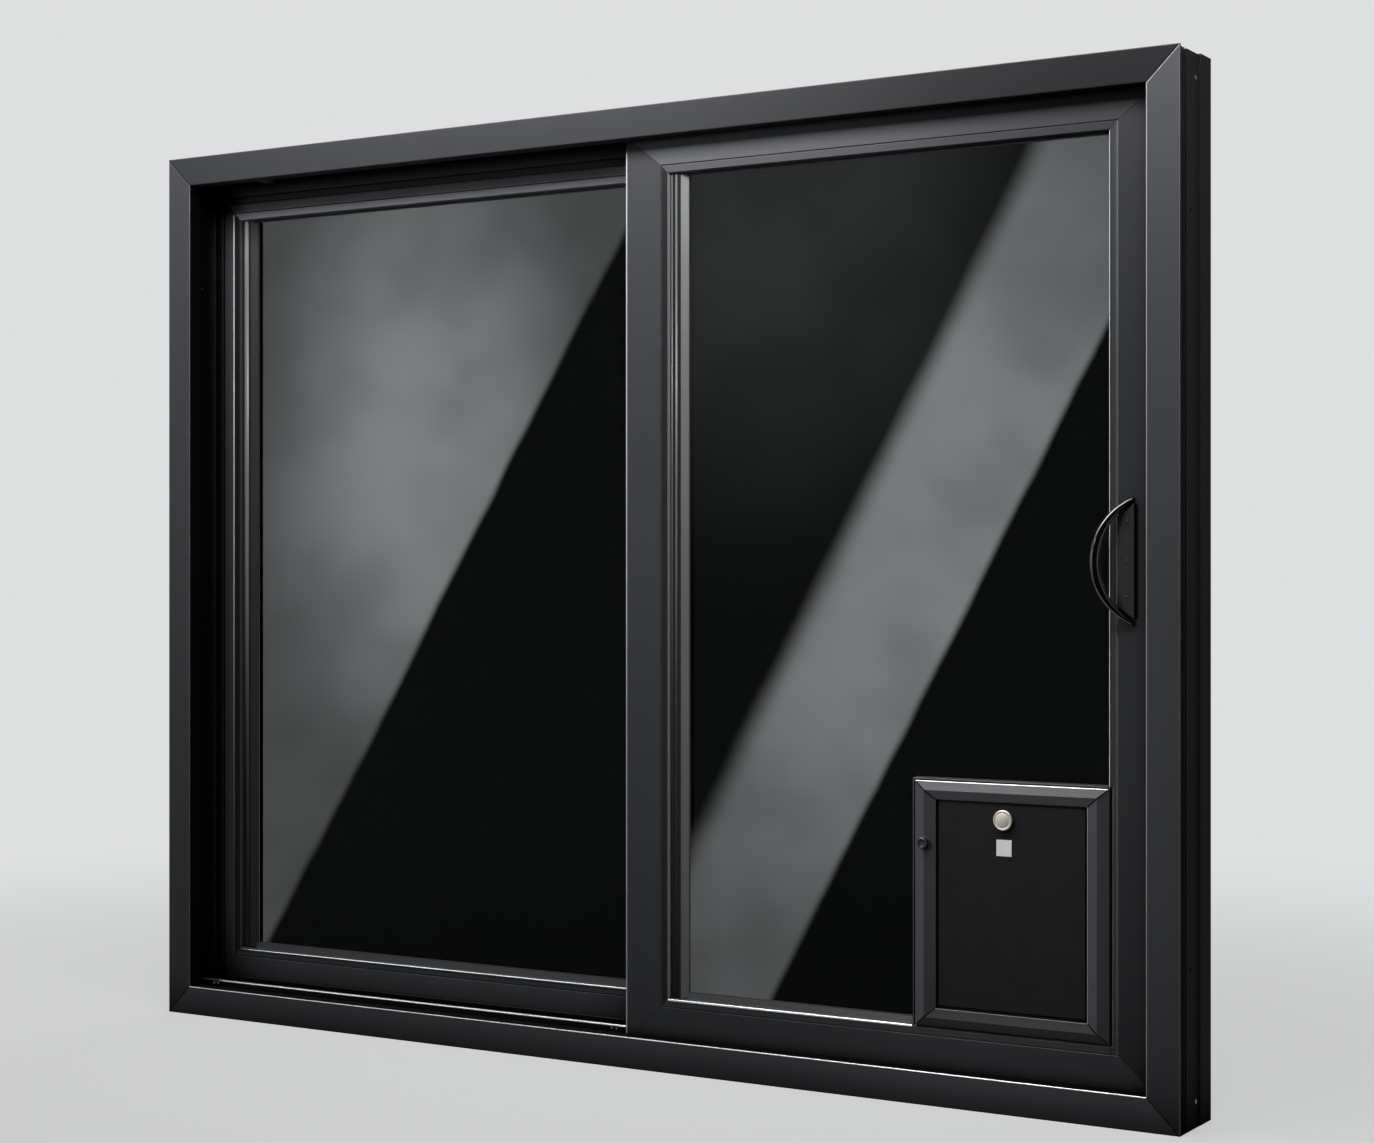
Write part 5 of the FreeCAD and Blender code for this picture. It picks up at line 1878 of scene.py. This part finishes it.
@dataclass(frozen=True)
class Viewpoint:
    """Camera at the photograph's angle, and what its pixels stand for."""

    lens: float = 64.88
    sensor: float = 36.0
    yaw: float = 31.3635
    place: tuple[float, float, float] = (2.854, -4.4595, 1.044)
    image: tuple[int, int] = (1374, 1143)

    def make(self) -> None:
        """Makes the scene's camera."""
        data = bpy.data.cameras.new("camera")
        data.lens, data.sensor_width = self.lens, self.sensor
        data.clip_end = 200.0
        camera = new_object("camera", data)
        camera.location = self.place
        camera.rotation_euler = (math.radians(90), 0, math.radians(self.yaw))
        bpy.context.scene.camera = camera

    def ray(self, pixel: Flat) -> Vector:
        """Direction that a pixel of the photograph looks along.

        Args:
            pixel: Column and row.

        Returns:
            The direction.
        """
        focal = self.lens / self.sensor * self.image[0]
        right = (pixel[0] - self.image[0] / 2) / focal
        up = (self.image[1] / 2 - pixel[1]) / focal
        a = math.radians(self.yaw)
        return Vector((-math.sin(a) + right * math.cos(a), math.cos(a) + right * math.sin(a), up))

    def mirrored(self, pixel: Flat, glass: float, wall: float) -> Vector:
        """Point on a wall in the room that a pixel sees in the glass.

        Args:
            pixel: Column and row.
            glass: Place of the glass in y.
            wall: Place of the wall in y.

        Returns:
            The point.
        """
        eye, ray = Vector(self.place), self.ray(pixel)
        hit = eye + ray * ((glass - eye.y) / ray.y)
        back = Vector((ray.x, -ray.y, ray.z))
        return hit + back * ((wall - hit.y) / back.y)


@dataclass(frozen=True)
class SoftSide:
    """Soft straight side of a reflected light, in the photograph's pixels, lit on its left."""

    start: Flat
    end: Flat
    softness: float


@dataclass(frozen=True)
class Glow:
    """Brightest part of a reflected light, in the photograph's pixels."""

    centre: Flat
    reach: Flat
    low: float


def reflected_card(name: str, points: Sequence[Vector], faces: Sequence[tuple[int, ...]],
                   material: bpy.types.Material) -> bpy.types.Object:
    """Makes a card of the studio that only reflections see.

    Args:
        name: The card's name.
        points: Its corners.
        faces: Its faces, by number of corner.
        material: Its material.

    Returns:
        The card.
    """
    mesh = bpy.data.meshes.new(name)
    mesh.from_pydata(points, [], faces)
    mesh.materials.append(material)
    card = new_object(name, mesh)
    card.visible_camera = False
    card.visible_diffuse = False
    card.visible_transmission = False
    card.visible_shadow = False
    card.visible_volume_scatter = False
    return card


@dataclass(frozen=True)
class LightCard:
    """Soft lit card in the room, seen only as a reflection in glass and metal."""

    UNIT = 100.0

    name: str
    area: tuple[float, float, float, float]
    glow: Glow
    strength: float
    sides: tuple[SoftSide, ...] = ()
    haze: Glow | None = None
    haze_level: float = 0.0
    cloud_size: float = 110.0
    cloud_low: float = 0.78
    steps: int = 12

    def make(self, view: Viewpoint, glass: float, wall: float) -> bpy.types.Object:
        """Makes the card where its reflection covers its pixels.

        Args:
            view: The camera's viewpoint.
            glass: Place of the glass in y.
            wall: Place of the card in y.

        Returns:
            The card.
        """
        x0, y0, x1, y1 = self.area
        n = self.steps
        pixels = [(x0 + (x1 - x0) * i / n, y0 + (y1 - y0) * j / n)
                  for j in range(n + 1) for i in range(n + 1)]
        faces = [(j * (n + 1) + i, j * (n + 1) + i + 1, (j + 1) * (n + 1) + i + 1,
                  (j + 1) * (n + 1) + i) for j in range(n) for i in range(n)]
        points = [view.mirrored(pixel, glass, wall) for pixel in pixels]
        card = reflected_card(self.name, points, faces, self.material())
        layer = card.data.uv_layers.new(name="pixels")
        for loop, uv in zip(card.data.loops, layer.data):
            x, y = pixels[loop.vertex_index]
            uv.uv = (x / self.UNIT, y / self.UNIT)
        return card

    def inside(self, tree: Tree, place: Socket, side: SoftSide) -> Socket:
        """Share of light beside one soft side.

        Args:
            tree: The card's tree.
            place: Place in units of pixels.
            side: The soft side.

        Returns:
            The socket with the share.
        """
        start, run = Vector(side.start), Vector(side.end) - Vector(side.start)
        out = Vector((-run.y, run.x)).normalized()
        along = tree.add(
            "VectorMath", {0: place, 1: (out.x, out.y, 0.0)}, operation="DOT_PRODUCT")
        distance = tree.maths("SUBTRACT", along.outputs["Value"], out.dot(start) / self.UNIT)
        half = side.softness / self.UNIT / 2
        return tree.ramp(distance, -half, half)

    def glowing(self, tree: Tree, place: Socket, glow: Glow) -> Socket:
        """Level that is 1 in a glow's middle and falls to its low level.

        Args:
            tree: The card's tree.
            place: Place in units of pixels.
            glow: The glow.

        Returns:
            The socket with the level.
        """
        centre, reach = glow.centre, glow.reach
        offset = tree.add("VectorMath", {
            0: place, 1: (centre[0] / self.UNIT, centre[1] / self.UNIT, 0.0),
        }, operation="SUBTRACT").outputs[0]
        scaled = tree.add("VectorMath", {
            0: offset, 1: (self.UNIT / reach[0], self.UNIT / reach[1], 0.0),
        }, operation="MULTIPLY").outputs[0]
        away = tree.add("VectorMath", {0: scaled}, operation="LENGTH").outputs["Value"]
        return tree.ramp(away, 0.15, 1.0, 1.0, glow.low)

    def material(self) -> bpy.types.Material:
        """Light with its soft sides, its glow, its haze and slow clouds.

        Returns:
            The material.
        """
        made = bpy.data.materials.new(self.name)
        tree = empty_tree(made)
        place = tree.add("UVMap", uv_map="pixels").outputs[0]
        level = self.glowing(tree, place, self.glow)
        for side in self.sides:
            level = tree.maths("MULTIPLY", level, self.inside(tree, place, side))
        if self.haze:
            haze = tree.maths(
                "MULTIPLY", self.glowing(tree, place, self.haze), self.haze_level)
            level = tree.maths("MAXIMUM", level, haze)
        clouds = tree.noise(place, self.UNIT / self.cloud_size, 2.0)
        level = tree.maths("MULTIPLY", level, tree.ramp(clouds, 0.3, 0.65, self.cloud_low, 1.0))
        light = tree.add("Emission", {
            "Color": srgb(238, 244, 246), "Strength": tree.maths("MULTIPLY", level, self.strength)})
        tree.add("OutputMaterial", {"Surface": light.outputs[0]})
        return made


@dataclass(frozen=True)
class Softbox:
    """Soft rectangular lamp that the camera doesn't see, directly or through glass."""

    name: str
    place: tuple[float, float, float]
    target: tuple[float, float, float]
    size: Flat
    power: float
    in_gloss: bool = True
    spread: float = 180.0

    def make(self) -> None:
        """Makes the lamp."""
        data = bpy.data.lights.new(self.name, "AREA")
        data.shape, data.energy = "RECTANGLE", self.power
        data.spread = math.radians(self.spread)
        data.size, data.size_y = self.size
        lamp = new_object(self.name, data)
        lamp.location = self.place
        aim = Vector(self.target) - Vector(self.place)
        lamp.rotation_euler = aim.to_track_quat("-Z", "Y").to_euler()
        lamp.visible_camera = False
        lamp.visible_transmission = False
        lamp.visible_glossy = self.in_gloss


@dataclass(frozen=True)
class GlossStrip:
    """Bright strip in the room, seen only as a reflection in glossy edges."""

    name: str
    corners: tuple[tuple[float, float, float], ...]
    strength: float

    def make(self) -> None:
        """Makes the strip."""
        made = bpy.data.materials.new(self.name)
        tree = empty_tree(made)
        light = tree.add("Emission", {"Color": srgb(250, 250, 250), "Strength": self.strength})
        tree.add("OutputMaterial", {"Surface": light.outputs[0]})
        reflected_card(self.name, self.corners, [tuple(range(len(self.corners)))], made)


@dataclass(frozen=True)
class Flag:
    """Upright black cloth, seen only as a reflection."""

    name: str
    start: Flat
    end: Flat
    low: float = -8.0
    high: float = 10.0

    def make(self) -> None:
        """Makes the cloth between two places in (x, y)."""
        corners = [(*self.start, self.low), (*self.end, self.low), (*self.end, self.high),
                   (*self.start, self.high)]
        made = bpy.data.materials.new(self.name)
        tree = empty_tree(made)
        cloth = tree.add("BsdfDiffuse", {"Color": srgb(10, 10, 10)})
        tree.add("OutputMaterial", {"Surface": cloth.outputs[0]})
        reflected_card(self.name, corners, [(0, 1, 2, 3)], made)


@dataclass
class Studio:
    """Pale floor and surroundings, soft lamps, reflected cards and the camera."""

    view: Viewpoint = Viewpoint()
    floor_colour: Colour = srgb(206, 206, 205)
    bounce_colour: Colour = srgb(60, 60, 60)
    surround: Colour = srgb(222, 223, 224)
    ambient: float = 0.05
    floor_radius: float = 45.0
    paleness: float = 0.7
    fade_start: float = 1.3
    fade_end: float = 4.6
    card_wall: float = -5.0
    lamps: tuple[Softbox, ...] = (
        Softbox("key", (0.1, -0.95, 2.62), (0.1, 0.0, 1.7), (4.2, 0.5), 62.0),
        Softbox("overhead", (-0.4, 0.3, 3.5), (-0.4, 0.3, 0.0), (4.4, 2.6), 8.0),
        Softbox("kick", (-0.3, -2.4, 1.9), (0.88, 0.0, 0.52), (0.5, 0.5), 0.55, True, 22.0),
        Softbox("rear", (-1.0, 4.8, 3.6), (0.0, 0.0, 1.1), (3.4, 2.4), 120.0, False),
    )
    strips: tuple[GlossStrip, ...] = (
        GlossStrip("top_strip", ((-1.6, -1.9, 3.4), (1.6, -1.9, 3.4), (1.6, -1.3, 3.6),
                                 (-1.6, -1.3, 3.6)), 17.0),
        GlossStrip("right_strip", ((5.0, -2.6, 1.1), (5.0, 0.2, 1.1), (5.0, 0.2, 3.2),
                                   (5.0, -2.6, 3.2)), 0.4),
    )
    flags: tuple[Flag, ...] = (
        Flag("room_flag", (-16.0, -9.0), (18.0, -9.0)),
        Flag("side_flag", (3.2, 12.0), (12.0, 3.0)),
    )
    fixed_card: LightCard = LightCard(
        "fixed_card", (235.0, 150.0, 650.0, 1000.0), Glow((430.0, 450.0), (210.0, 400.0), 0.28),
        5.2, (SoftSide((627.0, 225.0), (270.0, 940.0), 9.0),))
    sliding_card: LightCard = LightCard(
        "sliding_card", (682.0, 95.0, 1118.0, 1015.0),
        Glow((915.0, 500.0), (420.0, 600.0), 0.36), 5.4,
        (SoftSide((690.0, 860.0), (1040.0, 140.0), 32.0),
         SoftSide((1110.0, 320.0), (770.0, 1000.0), 10.0)),
        haze=Glow((770.0, 150.0), (330.0, 480.0), 0.0), haze_level=0.12)

    def build(self) -> None:
        """Makes everything that isn't part of the door."""
        bpy.context.scene.view_settings.view_transform = "Standard"
        self.world()
        self.floor()
        for part in (*self.lamps, *self.strips, *self.flags):
            part.make()
        for card, pane in ((self.fixed_card, "fixed_inner_pane"),
                           (self.sliding_card, "sliding_inner_pane")):
            card.make(self.view, NodeBox.of(pane).low.y, self.card_wall)
        self.view.make()
        LOG.info("studio ready")

    def world(self) -> None:
        """Pale surroundings that light the door only softly."""
        world = bpy.data.worlds.new("surroundings")
        tree = empty_tree(world)
        path = tree.add("LightPath").outputs
        seen = tree.maths("MAXIMUM", path["Is Camera Ray"], tree.maths(
            "MAXIMUM", path["Is Glossy Ray"], path["Is Transmission Ray"]))
        level = tree.ramp(seen, 0.0, 1.0, self.ambient, 1.0)
        back = tree.add("Background", {"Color": self.surround, "Strength": level})
        tree.add("OutputWorld", {"Surface": back.outputs[0]})
        bpy.context.scene.world = world

    def floor(self) -> None:
        """Round floor that fades into the surroundings away from the door."""
        bm = bmesh.new()
        bmesh.ops.create_circle(bm, cap_ends=True, segments=128, radius=self.floor_radius)
        mesh = bpy.data.meshes.new("floor")
        bm.to_mesh(mesh)
        bm.free()
        made = bpy.data.materials.new("floor")
        tree = empty_tree(made)
        path = tree.add("LightPath").outputs
        near = tree.add("BsdfDiffuse", {"Color": self.floor_colour})
        bounce = tree.add("BsdfDiffuse", {"Color": self.bounce_colour})
        lit = tree.add("MixShader", {
            0: path["Is Diffuse Ray"], 1: near.outputs[0], 2: bounce.outputs[0]})
        distance = tree.add(
            "VectorMath", {0: tree.place()}, operation="LENGTH").outputs["Value"]
        far = tree.add("Emission", {"Color": self.surround, "Strength": 1.0})
        fade = tree.ramp(distance, self.fade_start, self.fade_end, self.paleness, 1.0)
        shown = tree.maths("MULTIPLY", fade, tree.maths(
            "SUBTRACT", 1.0, path["Is Diffuse Ray"]))
        both = tree.add("MixShader", {0: shown, 1: lit.outputs[0], 2: far.outputs[0]})
        tree.add("OutputMaterial", {"Surface": both.outputs[0]})
        mesh.materials.append(made)
        floor = new_object("floor", mesh)
        floor.visible_glossy = False


def main() -> None:
    """Builds the door's looks, then the studio."""
    logging.basicConfig(level=logging.INFO, format="%(name)s: %(message)s")
    parts = [OuterFrame(), SillTrack(), Panel(PanelKind.FIXED), Panel(PanelKind.SLIDING),
             PullHandle(), OutdoorSide(), PetDoor(), PetCover(), Studio()]
    for part in parts:
        part.build()
        LOG.info("built %s", type(part).__name__)


if __name__ == "__main__":
    main()
